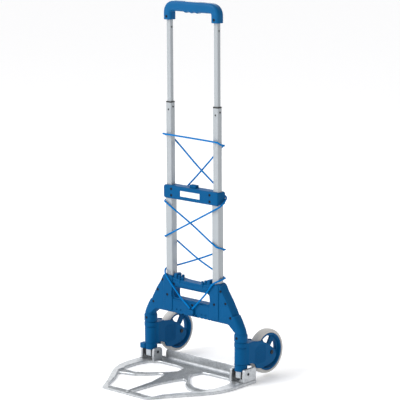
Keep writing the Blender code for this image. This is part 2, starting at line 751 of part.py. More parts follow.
def base_half(name, side, material):
    """One base shell: panel, tube sockets, round necks and carrying slot."""
    body = make_prism(name, base_outline(), -PANEL_HALF_DEPTH, PANEL_HALF_DEPTH, "Y", material)
    add_bevel(body, 0.002, 1, 55)
    low, high = half_span(side, 0.05)
    apply_tool(body, make_prism(f"cut_{name}_half", rounded_box(1.0, 3.0, 0), low, high, "Y"), "INTERSECT")
    pockets = bmesh.new()
    low, high = sorted((0, side * (PANEL_HALF_DEPTH - SHELL_WALL)))
    for _, sign in SIDES:
        add_prism(pockets, [(sign * x, z) for x, z in wing_pocket()], low, high, "Y")
    apply_tool(body, make_object(f"cut_{name}_pockets", pockets))
    bosses = bmesh.new()
    low, high = half_span(side, PANEL_HALF_DEPTH - 0.001)
    for place in ("upper", "middle", "lower"):
        for _, sign in SIDES:
            x, z, _, _ = BASE_SCREWS[place]
            add_rod(bosses, 0.0048, low, high, (sign * x, 0, z), "Y", 8)
    apply_tool(body, make_object(f"join_{name}_bosses", bosses), "UNION")
    sockets = bmesh.new()
    low, high = half_span(side, SOCKET_HALF_DEPTH)
    middle = (SOCKET_TOP + SOCKET_BOTTOM) / 2
    for _, sign in SIDES:
        outline = rounded_box(
            2 * SOCKET_HALF_WIDTH, SOCKET_TOP - SOCKET_BOTTOM, 0.006, (sign * TUBE_X, middle), 2
        )
        add_prism(sockets, outline, low, high, "Y")
    apply_tool(body, make_object(f"join_{name}_sockets", sockets), "UNION")
    apply_tool(body, make_necks(f"join_{name}_necks", side), "UNION")
    if side < 0:
        clip = rounded_box(0.020, 0.012, 0.003, (CLIP_CENTRE_X, 0.1755), 2)
        apply_tool(body, make_prism(f"join_{name}_clip", clip, -0.0225, -0.012, "Y"), "UNION")
    slot_middle = (SLOT_TOP + SLOT_BOTTOM) / 2
    slot = rounded_box(2 * SLOT_HALF_WIDTH, SLOT_TOP - SLOT_BOTTOM, 0.0149, (0, slot_middle), 3)
    apply_tool(body, make_prism(f"cut_{name}_slot", slot, -0.05, 0.05, "Y"))
    hollows = bmesh.new()
    for _, sign in SIDES:
        section = rounded_box(LOWER_TUBE_X + 2 * FIT_GAP, LOWER_TUBE_Y + 2 * FIT_GAP, 0.003, (sign * TUBE_X, 0))
        add_prism(hollows, section, TUBE_BOTTOM - FIT_GAP, SOCKET_TOP + 0.02, "Z")
        radius = POST_RADIUS + FIT_GAP
        add_rod(hollows, radius, COLLAR_BOTTOM - 0.01, POST_TOP + FIT_GAP, (sign * POST_X, 0, 0), "Z", 12)
    apply_tool(body, make_object(f"cut_{name}_hollows", hollows))
    holes = bmesh.new()
    for x, z, front, length in base_screw_places():
        if side < 0 or front + length > 0:
            add_screw_hole(holes, x, z, front, length)
    apply_tool(body, make_object(f"cut_{name}_screws", holes))
    return body


def base_screw_places():
    """Every base screw's (x, z, front, length)."""
    places = [(CLIP_CENTRE_X, SLOT_BOTTOM - 0.0105, -PANEL_HALF_DEPTH, LONG_SCREW)]
    for x, z, depth, length in BASE_SCREWS.values():
        places += [(sign * x, z, -depth, length) for _, sign in SIDES]
    return places


def build_base(paint):
    """Build the base's two shells and its screws."""
    base_half("base_front_shell", -1, paint["frame"])
    base_half("base_back_shell", 1, paint["frame"])
    for place, (x, z, depth, length) in BASE_SCREWS.items():
        for side, sign in SIDES:
            make_screw(f"base_screw_{place}_{side}", sign * x, z, -depth, paint["dark"], length)
    make_screw("base_screw_centre", CLIP_CENTRE_X, SLOT_BOTTOM - 0.0105, -PANEL_HALF_DEPTH, paint["dark"], LONG_SCREW)


# ---- posts and hinges ---------------------------------------------------------------


def build_posts(paint):
    """Build each steel post with its hinge block, its foot block and its hinge pin."""
    for side, sign in SIDES:
        x = sign * POST_X
        block = rounded_box(HINGE_BLOCK_WIDTH, HINGE_BLOCK_DEPTH, 0.002, (x, 0), 2)
        post = make_prism(f"hinge_post_{side}", block, HINGE_BLOCK_BOTTOM, HINGE_BLOCK_TOP, "Z", paint["steel"])
        shaft = bmesh.new()
        add_rod(shaft, POST_RADIUS, HINGE_BLOCK_TOP - 0.002, POST_TOP, (x, 0, 0), "Z", 20)
        apply_tool(post, make_object(f"join_post_{side}", shaft), "UNION")
        bore = bmesh.new()
        add_rod(bore, PIN_RADIUS + FIT_GAP, x - 0.02, x + 0.02, (0, 0, PIN_HEIGHT), "X", 16)
        apply_tool(post, make_object(f"cut_post_bore_{side}", bore))
        foot = bmesh.new()
        add_hollow_prism(
            foot,
            circle(BARREL_RADIUS, 24, (x, 0)),
            circle(POST_RADIUS + FIT_GAP, 24, (x, 0)),
            FOOT_BOTTOM,
            FOOT_TOP,
            "Z",
        )
        make_object(f"foot_block_{side}", foot, paint["frame"])
        pin = bmesh.new()
        reach = EAR_OUTER - 0.0012
        add_rod(pin, PIN_RADIUS, x - reach, x + reach, (0, 0, PIN_HEIGHT), "X", 16)
        make_object(f"hinge_pin_{side}", pin, paint["dark"])


# ---- forks and wheels ---------------------------------------------------------------


def cheek_outline():
    """Side view of a fork cheek, in (y, z)."""
    reach, axle = AXLE_REACH, AXLE_HEIGHT
    return round_corners(
        [
            (0.000, FORK_TOP, 0),
            (reach - 0.073, FORK_TOP, 0.010),
            (reach - 0.043, FORK_TOP - 0.005, 0.030),
            (reach - 0.015, axle + 0.0275, 0.025),
            (reach + 0.009, axle + 0.010, 0.020),
            (reach + 0.025, axle - 0.012, 0.010),
            (reach + 0.010, axle - 0.027, 0.016),
            (reach - 0.013, axle - 0.0335, 0.020),
            (reach - 0.043, axle - 0.0375, 0.015),
            (reach - 0.0610, axle - 0.0330, 0.005),
            (reach - 0.0665, FORK_BOTTOM - 0.006, 0.003),
            (reach - 0.081, FORK_BOTTOM, 0.003),
            (0.000, FORK_BOTTOM, 0),
        ],
        3,
    )


def fork_body(name, x, material):
    """One fork: a barrel round the post, a bridge and a cheek on each side."""
    bm = bmesh.new()
    add_rod(bm, BARREL_RADIUS, FORK_BOTTOM, FORK_TOP, (x, 0, 0), "Z", 24)
    fork = make_object(name, bm, material)
    bridge_end = AXLE_REACH - WHEEL_RADIUS - 0.0035
    for part, sign in (("inner", -1), ("outer", 1)):
        low, high = sorted((x + sign * CHEEK_INNER, x + sign * CHEEK_OUTER))
        cheek = make_prism(f"join_{name}_{part}", cheek_outline(), low, high, "X")
        apply_tool(fork, cheek, "UNION")
    bridge = [
        (x - CHEEK_INNER - 0.001, 0.0),
        (x + CHEEK_INNER + 0.001, 0.0),
        (x + CHEEK_INNER + 0.001, bridge_end),
        (x - CHEEK_INNER - 0.001, bridge_end),
    ]
    tool = make_prism(f"join_{name}_bridge", bridge, FORK_BOTTOM + 0.001, FORK_TOP - 0.001, "Z")
    apply_tool(fork, tool, "UNION")
    front = make_prism(f"cut_{name}_front", rounded_box(0.06, 0.04, 0, (x, -0.02)), 0, 0.2, "Z")
    keep = bmesh.new()
    add_rod(keep, BARREL_RADIUS, 0, 0.21, (x, 0, 0), "Z", 24)
    apply_tool(front, make_object(f"cut_{name}_keep", keep))
    apply_tool(fork, front)
    bore = bmesh.new()
    add_rod(bore, POST_RADIUS + RUN_GAP, 0, 0.2, (x, 0, 0), "Z", 20)
    apply_tool(fork, make_object(f"cut_{name}_bore", bore))
    axle = bmesh.new()
    reach = CHEEK_OUTER + 0.01
    add_rod(axle, AXLE_RADIUS + FIT_GAP, x - reach, x + reach, (0, AXLE_REACH, AXLE_HEIGHT), "X", 16)
    apply_tool(fork, make_object(f"cut_{name}_axle", axle))
    return fork


def tyre_profile():
    """Round-shouldered tyre section, (radius, offset)."""
    half = TYRE_WIDTH / 2
    inner = RIM_RADIUS + FIT_GAP
    points = [(inner, -half + 0.004), (inner + 0.004, -half + 0.001)]
    for step in range(5):
        angle = math.radians(-75 + 37.5 * step)
        radius = WHEEL_RADIUS - 0.009 + 0.009 * math.cos(angle)
        points.append((radius, half * math.sin(angle) / math.sin(math.radians(75))))
    points += [(inner + 0.004, half - 0.001), (inner, half - 0.004)]
    return points


def rim_profile():
    """Hub, deep dish web and rim barrel, (radius, offset)."""
    bore = AXLE_RADIUS + RUN_GAP
    half = TYRE_WIDTH / 2
    return [
        (bore, -half),
        (HUB_RADIUS, -half),
        (HUB_RADIUS, -0.003),
        (RIM_RADIUS - 0.005, -0.003),
        (RIM_RADIUS - 0.005, -half + 0.002),
        (RIM_RADIUS, -half + 0.002),
        (RIM_RADIUS, half - 0.002),
        (RIM_RADIUS - 0.005, half - 0.002),
        (RIM_RADIUS - 0.005, 0.003),
        (HUB_RADIUS, 0.003),
        (HUB_RADIUS, half),
        (bore, half),
    ]


def make_rim(name, x, material):
    """Make one wheel rim with openings between its spokes."""
    bm = bmesh.new()
    centre = (x, AXLE_REACH, AXLE_HEIGHT)
    add_turned(bm, rim_profile(), centre, "X", 32)
    rim = make_object(name, bm, material)
    openings = bmesh.new()
    inner, outer = HUB_RADIUS + 0.004, RIM_RADIUS - 0.009
    for spoke in range(SPOKES):
        middle = 2 * math.pi * spoke / SPOKES + math.pi / 2
        outline = []
        for radius, spread in ((outer, 0.46), (inner, 0.30)):
            steps = [spread * (1 - 2 * i / 2) for i in range(3)]
            if radius == inner:
                steps.reverse()
            for offset in steps:
                angle = middle + offset
                outline.append((centre[1] + radius * math.cos(angle), centre[2] + radius * math.sin(angle)))
        add_prism(openings, outline, x - 0.01, x + 0.01, "X")
    apply_tool(rim, make_object(f"cut_{name}_openings", openings))
    return rim


def build_wheels(paint):
    """Build each side's fork, axle bolt, rim and tyre."""
    for side, sign in SIDES:
        x = sign * POST_X
        fork_body(f"fork_{side}", x, paint["frame"])
        centre = (x, AXLE_REACH, AXLE_HEIGHT)
        make_rim(f"wheel_rim_{side}", x, paint["frame"])
        bm = bmesh.new()
        add_turned(bm, tyre_profile(), centre, "X", 32)
        make_object(f"tyre_{side}", bm, paint["tyre"])
        reach = CHEEK_OUTER + FIT_GAP
        profile = [
            (0, -reach - 0.002),
            (0.0065, -reach - 0.002),
            (0.0065, -reach),
            (AXLE_RADIUS, -reach),
            (AXLE_RADIUS, reach),
            (0.0065, reach),
            (0.0065, reach + 0.002),
            (0, reach + 0.002),
        ]
        bm = bmesh.new()
        add_turned(bm, profile, centre, "X", 12)
        make_object(f"axle_bolt_{side}", bm, paint["dark"])


# ---- toe plate ----------------------------------------------------------------------


def spread(points):
    """Plan points given as shares of the plate's half width."""
    return [(share * PLATE_HALF_WIDTH, y, radius) for share, y, radius in points]


def plate_outline():
    """Plan view of the toe plate."""
    right = [
        (0, -PLATE_REACH, 0),
        (0.420, -PLATE_REACH, 0.006),
        (0.535, -0.240, 0),
        (0.681, -0.201, 0.060),
        (0.846, -0.155, 0),
        (0.914, -0.132, 0),
        (0.970, -0.105, 0),
        (1.000, -0.070, 0),
        (1.000, 0.030, 0.008),
        (0.962, WALL_BACK, 0.002),
        (0, WALL_BACK, 0),
    ]
    return mirrored_open(round_corners(spread(right), 3))


def tray_outline():
    """Plan view of the recessed deck, inside the raised side bands."""
    right = [
        (0, 0.005 - PLATE_REACH, 0),
        (0.360, 0.005 - PLATE_REACH, 0.004),
        (0.405, -0.246, 0),
        (0.560, -0.196, 0),
        (0.715, -0.158, 0),
        (0.790, -0.146, 0.006),
        (0.805, -0.128, 0.006),
        (0.760, -0.100, 0),
        (0.760, -0.040, 0),
        (0.790, -0.0195, 0.004),
        (0.980, -0.0195, 0.004),
        (0.980, WALL_FRONT, 0.004),
        (0, WALL_FRONT, 0),
    ]
    return mirrored_open(round_corners(spread(right), 3))


def rear_opening():
    """Opening behind one arm of the toe plate."""
    corners = [
        (0.172, -0.010, 0.008),
        (0.304, -0.0045, 0.020),
        (0.658, -0.0045, 0.025),
        (0.795, -0.024, 0.018),
        (0.838, -0.060, 0.030),
        (0.830, -0.112, 0.012),
        (0.739, -0.124, 0.014),
        (0.557, -0.124, 0.025),
        (0.395, -0.105, 0.030),
        (0.202, -0.066, 0.030),
        (0.127, -0.044, 0.008),
    ]
    return round_corners(spread(corners), 3)


def front_opening():
    """Opening between one arm, the side band, the front bar and the spine."""
    corners = [
        (0.033, -0.258, 0.004),
        (0.056, -0.165, 0.030),
        (0.127, -0.112, 0.030),
        (0.182, -0.088, 0.008),
        (0.263, -0.092, 0.014),
        (0.380, -0.122, 0.030),
        (0.506, -0.142, 0.030),
        (0.740, -0.156, 0.004),
        (0.608, -0.190, 0),
        (0.488, -0.232, 0),
        (0.422, -0.260, 0.006),
    ]
    return round_corners(spread(corners), 3)


def wall_outline():
    """Rear wall of the toe plate, level along its top."""
    right = [
        (0, WALL_HEIGHT, 0),
        (WALL_HALF_WIDTH - 0.001, WALL_HEIGHT - 0.001, 0.004),
        (WALL_HALF_WIDTH + 0.001, 0.020, 0),
        (WALL_HALF_WIDTH + 0.001, 0.002, 0),
        (0, 0.002, 0),
    ]
    return mirrored_open(round_corners(right, 3))


def ear_outline(back, low):
    """Side view of a hinge ear, in (y, z), up to a back edge, its top lowered."""
    front = -EAR_RADIUS - 0.003
    corners = [
        (front, 0.002, 0),
        (back, 0.002, 0),
        (back, EAR_TOP - low, 0.008),
        (front + 0.002, EAR_TOP - low, 0.005),
        (front, PIN_HEIGHT - 0.004, 0),
    ]
    return round_corners(corners, 3)


def build_toe_plate(paint):
    """Build the cast toe plate with its rim, openings, rear wall and hinge ears."""
    plate = make_prism("toe_plate", plate_outline(), 0, RIM_HEIGHT, "Z", paint["cast"])
    tray = make_prism("cut_plate_tray", tray_outline(), PLATE_THICKNESS, 0.03, "Z")
    apply_tool(plate, tray)
    nose = [
        (-PLATE_REACH - 0.05, 0.003),
        (-PLATE_REACH, 0.003),
        (0.046 - PLATE_REACH, RIM_HEIGHT),
        (0.080 - PLATE_REACH, 0.04),
        (-PLATE_REACH - 0.05, 0.04),
    ]
    apply_tool(plate, make_prism("cut_plate_nose", nose, -0.3, 0.3, "X"))
    openings = bmesh.new()
    for _, sign in SIDES:
        for outline in (rear_opening(), front_opening()):
            add_prism(openings, [(sign * x, y) for x, y in outline], -0.01, 0.03, "Z")
    apply_tool(plate, make_object("cut_plate_openings", openings))
    wall = make_prism("join_plate_wall", wall_outline(), WALL_FRONT, WALL_BACK - 0.0002, "Y")
    apply_tool(plate, wall, "UNION")
    ears = bmesh.new()
    bores = bmesh.new()
    for _, sign in SIDES:
        for reach, back, low in ((-1, 0.018, 0.003), (1, WALL_BACK - 0.0035, 0)):
            near, far = sorted(sign * (POST_X + reach * edge) for edge in (EAR_INNER, EAR_OUTER))
            add_prism(ears, ear_outline(back, low), near, far, "X")
        low, high = sign * POST_X - 0.04, sign * POST_X + 0.04
        add_rod(bores, PIN_RADIUS + FIT_GAP, low, high, (0, 0, PIN_HEIGHT), "X", 16)
    apply_tool(plate, make_object("join_plate_ears", ears), "UNION")
    apply_tool(plate, make_object("cut_plate_bores", bores))


# ---- elastic cord -------------------------------------------------------------------

CORD_ROUTE = (
    # from the clip up to the left upright, round it and back to the right
    (-0.0010, -0.0195, 0.1842),
    (-0.0065, -0.0195, 0.1895),
    (-0.0350, -0.0195, 0.2105),
    (-0.0640, -0.0214, 0.2400),
    (-0.0835, -0.0216, 0.2610),
    (-0.0890, -0.0212, 0.2675),
    (-0.0945, -0.0175, 0.2730),
    (-0.1010, -0.0085, 0.2790),
    (-0.1010, 0.0085, 0.2840),
    (-0.0855, 0.0145, 0.2865),
    (0.0050, 0.0165, 0.3200),
    (0.0885, 0.0158, 0.3550),
    (0.1010, 0.0085, 0.3605),
    (0.1010, -0.0085, 0.3670),
    (0.0855, -0.0145, 0.3735),
    (0.0000, -0.0105, 0.4190),
    (-0.0855, -0.0145, 0.4660),
    (-0.1010, -0.0085, 0.4720),
    (-0.1010, 0.0085, 0.4755),
    # behind the connector and round the middle tubes
    (-0.0960, 0.0150, 0.4770),
    (-0.0830, 0.0195, 0.4800),
    (-0.0600, 0.0200, 0.5000),
    (0.0000, 0.0200, 0.5560),
    (0.0855, 0.0145, 0.6360),
    (0.1010, 0.0085, 0.6440),
    (0.1010, -0.0085, 0.6500),
    (0.0855, -0.0145, 0.6555),
    (-0.0855, -0.0145, 0.6590),
    (-0.1010, -0.0085, 0.6580),
    (-0.1010, 0.0085, 0.6500),
    (-0.0855, 0.0145, 0.6425),
    (0.0000, 0.0145, 0.5770),
    (0.0600, 0.0205, 0.5300),
    (0.0850, 0.0205, 0.5110),
    # round the end of the connector and down again
    (0.0990, 0.0195, 0.5020),
    (0.1050, 0.0060, 0.4930),
    (0.1045, -0.0100, 0.4820),
    (0.0880, -0.0160, 0.4710),
    (0.0000, -0.0160, 0.4240),
    (-0.0855, -0.0145, 0.3790),
    (-0.1010, -0.0085, 0.3720),
    (-0.1010, 0.0085, 0.3660),
    (-0.0855, 0.0145, 0.3620),
    (0.0050, 0.0110, 0.3185),
    (0.0885, 0.0158, 0.2830),
    (0.1010, 0.0085, 0.2800),
    (0.1010, -0.0085, 0.2770),
    (0.0945, -0.0175, 0.2730),
    (0.0830, -0.0216, 0.2640),
    (0.0600, -0.0205, 0.2360),
    (0.0330, -0.0195, 0.2085),
    (0.0140, -0.0195, 0.1895),
    (0.0090, -0.0195, 0.1842),
)
ROUTE_EDGE_X = 0.0975  # outer face of the uprights that the route's numbers are drawn for
ROUTE_EDGE_Y = 0.01075
CORD_TURN = math.radians(20)
CORD_RUN = 0.050


def build_cord(paint):
    """Build the elastic cord that laces the two uprights together."""
    wider = (TUBE_X + LOWER_TUBE_X / 2) / ROUTE_EDGE_X
    deeper = max(1, LOWER_TUBE_Y / 2 / ROUTE_EDGE_Y)
    route = [(x * wider, y * deeper, z) for x, y, z in CORD_ROUTE]
    points = smooth_route(route, CORD_TURN, CORD_RUN)
    make_round_curve("elastic_cord", points, CORD_DIAMETER / 2, 2, paint["cord"])


# ---- the whole cart -----------------------------------------------------------------


def main():
    """Clear the scene and build every sub-part."""
    for item in list(bpy.data.objects):
        bpy.data.objects.remove(item, do_unlink=True)
    paint = {
        "tube": make_material("painted_tube", (0.58, 0.60, 0.63), 0.35, 0.6),
        "frame": make_material("blue_frame_plastic", (0.010, 0.114, 0.314), 0.45),
        "grip": make_material("blue_grip_plastic", (0.013, 0.168, 0.456), 0.5),
        "dark": make_material("dark_screw", (0.01, 0.015, 0.03), 0.4, 0.8),
        "black": make_material("black_plastic", (0.012, 0.012, 0.013), 0.5),
        "steel": make_material("zinc_steel", (0.45, 0.46, 0.48), 0.35, 1.0),
        "cast": make_material("cast_aluminium", (0.55, 0.56, 0.57), 0.4, 1.0),
        "tyre": make_material("grey_tyre", (0.56, 0.55, 0.53), 0.7),
        "cord": make_material("elastic_cord", (0.005, 0.19, 0.58), 0.8),
    }
    build_uprights(paint)
    build_grip(paint)
    build_connector(paint)
    build_base(paint)
    build_posts(paint)
    build_wheels(paint)
    build_toe_plate(paint)
    build_cord(paint)


main()
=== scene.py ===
"""Looks of a folding hand cart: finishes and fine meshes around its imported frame.

Metres, +Z up, the floor at z = 0. The uprights stand in the plane y = 0, the toe plate
reaches forward to -Y and the wheels stand at +Y.
"""

import json
import logging
import math
from dataclasses import dataclass, field
from enum import Enum
from typing import Any, Optional, Sequence

import bmesh
import bpy
from mathutils import Matrix, Vector

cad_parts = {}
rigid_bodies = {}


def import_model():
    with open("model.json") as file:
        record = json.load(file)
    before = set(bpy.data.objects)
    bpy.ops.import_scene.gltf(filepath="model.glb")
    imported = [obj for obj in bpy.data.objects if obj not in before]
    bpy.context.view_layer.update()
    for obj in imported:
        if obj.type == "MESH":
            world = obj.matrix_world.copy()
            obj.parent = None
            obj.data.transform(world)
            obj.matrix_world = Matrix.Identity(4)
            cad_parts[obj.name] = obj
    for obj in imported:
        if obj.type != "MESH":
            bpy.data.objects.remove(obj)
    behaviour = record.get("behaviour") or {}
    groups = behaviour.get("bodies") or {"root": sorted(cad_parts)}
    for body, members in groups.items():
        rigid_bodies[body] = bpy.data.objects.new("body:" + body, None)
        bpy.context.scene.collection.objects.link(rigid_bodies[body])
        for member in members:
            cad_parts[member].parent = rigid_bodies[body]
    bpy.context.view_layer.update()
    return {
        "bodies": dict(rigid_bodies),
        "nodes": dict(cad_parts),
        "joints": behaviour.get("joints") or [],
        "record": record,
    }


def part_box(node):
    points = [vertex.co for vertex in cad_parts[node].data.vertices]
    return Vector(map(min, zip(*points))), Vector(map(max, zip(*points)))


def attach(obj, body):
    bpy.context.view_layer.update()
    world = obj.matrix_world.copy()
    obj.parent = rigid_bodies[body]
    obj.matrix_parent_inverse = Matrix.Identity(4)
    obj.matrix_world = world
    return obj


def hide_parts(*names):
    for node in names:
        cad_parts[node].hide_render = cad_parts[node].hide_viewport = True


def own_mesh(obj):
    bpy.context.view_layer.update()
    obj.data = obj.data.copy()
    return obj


LOG = logging.getLogger("cart")
Point = tuple[float, float]
Outline = list[Point]
MM = 0.001
POST_X = 0.168  # where the swivel axes stand
BARREL_RADIUS = 0.0175  # of the fork barrels and the necks above them
SPLIT_GAP = 0.00015  # from the split plane to each half shell
SCREW_RECESS = 0.0041  # radius of the recess round a screw head


class Side(Enum):
    """The two sides of the cart, each with the sign of its x."""

    LEFT = -1
    RIGHT = 1

    @property
    def word(self) -> str:
        """Lower-case name, as the CAD nodes spell it."""
        return self.name.lower()


class Axis(Enum):
    """The axis that an outline is extruded or turned along."""

    X = 0
    Y = 1
    Z = 2


# ---- materials ----------------------------------------------------------------------


def linear_colour(code: str) -> tuple[float, float, float, float]:
    """Turn an sRGB hex code into a linear colour.

    Args:
        code: Six hex digits after a hash sign.

    Returns:
        Linear red, green, blue and an alpha of 1.
    """
    channels = []
    for start in (1, 3, 5):
        value = int(code[start : start + 2], 16) / 255
        channels.append(value / 12.92 if value <= 0.04045 else ((value + 0.055) / 1.055) ** 2.4)
    return (channels[0], channels[1], channels[2], 1.0)


def add_node(
    tree: bpy.types.NodeTree, kind: str, settings: Optional[dict[str, Any]] = None,
    values: Optional[dict[Any, Any]] = None, links: Optional[dict[Any, bpy.types.NodeSocket]] = None,
) -> bpy.types.Node:
    """Add a shader node with its settings, socket values and incoming links.

    Args:
        tree: Node tree that takes the node.
        kind: Blender's name of the node type.
        settings: Attributes of the node.
        values: Default values by input socket.
        links: Source sockets by input socket.

    Returns:
        The new node.
    """
    made = tree.nodes.new(kind)
    for name, value in (settings or {}).items():
        setattr(made, name, value)
    for socket, value in (values or {}).items():
        made.inputs[socket].default_value = value
    for socket, source in (links or {}).items():
        tree.links.new(source, made.inputs[socket])
    return made


@dataclass(frozen=True)
class Finish:
    """A surface: what it is made of and how its skin was formed.

    Attributes:
        name: Common name of the material and process.
        tint: Main colour, sRGB hex.
        shade: Second colour that the first drifts towards, sRGB hex.
        roughness: Mean roughness.
        metallic: 1 for bare metal, otherwise 0.
        ior: Index of refraction of a non-metal.
        grain_mm: Size of the fine surface grain.
        grain_depth_mm: Height of that grain.
        patch_mm: Size of the slow colour drift.
        patch_share: How far the colour drifts towards the shade.
        gloss_drift: How far the roughness wanders from its mean.
        stretch: Scale of the grain along each axis; below 1 draws it out.
        coat: Weight of a clear coat.
        sheen: Weight of fibre sheen.
        specular: Strength of a non-metal's mirror reflection; 0.5 is that of its IOR.
    """

    name: str
    tint: str
    shade: str
    roughness: float
    metallic: float = 0.0
    ior: float = 1.5
    grain_mm: float = 1.2
    grain_depth_mm: float = 0.03
    patch_mm: float = 60.0
    patch_share: float = 0.5
    gloss_drift: float = 0.06
    stretch: tuple[float, float, float] = (1.0, 1.0, 1.0)
    coat: float = 0.0
    sheen: float = 0.0
    specular: float = 0.5

    def build(self) -> bpy.types.Material:
        """Make the node material.

        Returns:
            The finished material.
        """
        material = bpy.data.materials.new(self.name)
        material.use_nodes = True
        tree = material.node_tree
        shader = tree.nodes["Principled BSDF"]
        shader.inputs["Metallic"].default_value = self.metallic
        shader.inputs["IOR"].default_value = self.ior
        shader.inputs["Specular IOR Level"].default_value = self.specular
        shader.inputs["Coat Weight"].default_value = self.coat
        shader.inputs["Coat Roughness"].default_value = 0.12
        shader.inputs["Sheen Weight"].default_value = self.sheen
        place = add_node(tree, "ShaderNodeTexCoord").outputs["Object"]
        drawn = add_node(
            tree, "ShaderNodeMapping", {}, {"Scale": self.stretch}, {"Vector": place}
        ).outputs["Vector"]
        patches = add_node(
            tree, "ShaderNodeTexNoise", {},
            {"Scale": 1 / (self.patch_mm * MM), "Detail": 3.0, "Roughness": 0.6}, {"Vector": drawn},
        ).outputs["Fac"]
        grain = add_node(
            tree, "ShaderNodeTexNoise", {},
            {"Scale": 1 / (self.grain_mm * MM), "Detail": 2.0, "Roughness": 0.55}, {"Vector": drawn},
        ).outputs["Fac"]
        self.colour(tree, shader, patches, grain)
        self.gloss(tree, shader, patches, grain)
        self.relief(tree, shader, grain)
        return material

    def colour(
        self, tree: bpy.types.NodeTree, shader: bpy.types.Node, patches: bpy.types.NodeSocket,
        grain: bpy.types.NodeSocket,
    ) -> None:
        """Let the colour drift slowly from the tint to the shade.

        Args:
            tree: The material's node tree.
            shader: Its Principled node.
            patches: Slow noise.
            grain: Fine noise.
        """
        share = add_node(
            tree, "ShaderNodeMapRange", {},
            {"From Min": 0.35, "From Max": 0.70, "To Min": 0.0, "To Max": self.patch_share},
            {"Value": patches},
        ).outputs["Result"]
        speckle = add_node(
            tree, "ShaderNodeMapRange", {},
            {"From Min": 0.3, "From Max": 0.7, "To Min": 0.0, "To Max": 0.25}, {"Value": grain},
        ).outputs["Result"]
        total = add_node(
            tree, "ShaderNodeMath", {"operation": "ADD", "use_clamp": True}, {}, {0: share, 1: speckle}
        ).outputs["Value"]
        mixed = add_node(
            tree, "ShaderNodeMix", {"data_type": "RGBA"},
            {6: linear_colour(self.tint), 7: linear_colour(self.shade)}, {0: total},
        ).outputs[2]
        tree.links.new(mixed, shader.inputs["Base Color"])

    def gloss(
        self, tree: bpy.types.NodeTree, shader: bpy.types.Node, patches: bpy.types.NodeSocket,
        grain: bpy.types.NodeSocket,
    ) -> None:
        """Let the roughness wander with the slow and the fine noise.

        Args:
            tree: The material's node tree.
            shader: Its Principled node.
            patches: Slow noise.
            grain: Fine noise.
        """
        both = add_node(
            tree, "ShaderNodeMath", {"operation": "MULTIPLY"}, {}, {0: patches, 1: grain}
        ).outputs["Value"]
        rough = add_node(
            tree,
            "ShaderNodeMapRange",
            {},
            {
                "From Min": 0.1, "From Max": 0.45, "To Min": self.roughness - self.gloss_drift,
                "To Max": self.roughness + self.gloss_drift,
            },
            {"Value": both},
        ).outputs["Result"]
        tree.links.new(rough, shader.inputs["Roughness"])

    def relief(self, tree: bpy.types.NodeTree, shader: bpy.types.Node, grain: bpy.types.NodeSocket) -> None:
        """Raise the fine grain as bump.

        Args:
            tree: The material's node tree.
            shader: Its Principled node.
            grain: Fine noise.
        """
        bump = add_node(
            tree, "ShaderNodeBump", {}, {"Strength": 0.6, "Distance": self.grain_depth_mm * MM},
            {"Height": grain},
        ).outputs["Normal"]
        tree.links.new(bump, shader.inputs["Normal"])


@dataclass(frozen=True)
class BraidedSleeve(Finish):
    """Woven textile sleeve over a rubber core, its strands crossing on the diagonal.

    Attributes:
        strand_mm: Width of one strand; the real one is near 0.6 mm, drawn coarser to show.
    """

    strand_mm: float = 1.6

    def relief(self, tree: bpy.types.NodeTree, shader: bpy.types.Node, grain: bpy.types.NodeSocket) -> None:
        """Weave two diagonal sets of strands from the sleeve's own coordinates.

        Args:
            tree: The material's node tree.
            shader: Its Principled node.
            grain: Fine noise; not used here.
        """
        around = add_node(tree, "ShaderNodeUVMap", {"uv_map": "sleeve"}).outputs["UV"]
        heights = []
        for turn in (45, -45):
            laid = add_node(
                tree, "ShaderNodeMapping", {}, {"Rotation": (0, 0, math.radians(turn))}, {"Vector": around},
            ).outputs["Vector"]
            heights.append(
                add_node(
                    tree, "ShaderNodeTexWave", {"bands_direction": "X"},
                    {"Scale": 0.314 / (self.strand_mm * MM), "Distortion": 0.0}, {"Vector": laid},
                ).outputs["Fac"]
            )
        woven = add_node(
            tree, "ShaderNodeMath", {"operation": "MAXIMUM"}, {}, {0: heights[0], 1: heights[1]}
        ).outputs["Value"]
        bump = add_node(
            tree, "ShaderNodeBump", {}, {"Strength": 0.8, "Distance": 0.25 * MM}, {"Height": woven}
        ).outputs["Normal"]
        tree.links.new(bump, shader.inputs["Normal"])


@dataclass(frozen=True)
class CastMetal(Finish):
    """Die-cast aluminium, mottled where the mould was released.

    Attributes:
        cloud_mm: Size of the grey clouds that casting leaves.
        cloud_tint: Colour of the clouds, sRGB hex.
    """

    cloud_mm: float = 14.0
    cloud_tint: str = "#74797E"

    def colour(
        self, tree: bpy.types.NodeTree, shader: bpy.types.Node, patches: bpy.types.NodeSocket,
        grain: bpy.types.NodeSocket,
    ) -> None:
        """Cloud the bright metal with grey patches of two sizes.

        Args:
            tree: The material's node tree.
            shader: Its Principled node.
            patches: Slow noise.
            grain: Fine noise; not used here.
        """
        place = add_node(tree, "ShaderNodeTexCoord").outputs["Object"]
        clouds = add_node(
            tree, "ShaderNodeTexNoise", {},
            {"Scale": 1 / (self.cloud_mm * MM), "Detail": 6.0, "Roughness": 0.7, "Distortion": 1.2},
            {"Vector": place},
        ).outputs["Fac"]
        shares = []
        for source, most in ((patches, self.patch_share), (clouds, 0.55)):
            shares.append(
                add_node(
                    tree, "ShaderNodeMapRange", {},
                    {"From Min": 0.45, "From Max": 0.72, "To Min": 0.0, "To Max": most}, {"Value": source},
                ).outputs["Result"]
            )
        first = add_node(
            tree, "ShaderNodeMix", {"data_type": "RGBA"},
            {6: linear_colour(self.tint), 7: linear_colour(self.shade)}, {0: shares[0]},
        ).outputs[2]
        second = add_node(
            tree, "ShaderNodeMix", {"data_type": "RGBA"}, {7: linear_colour(self.cloud_tint)},
            {0: shares[1], 6: first},
        ).outputs[2]
        tree.links.new(second, shader.inputs["Base Color"])


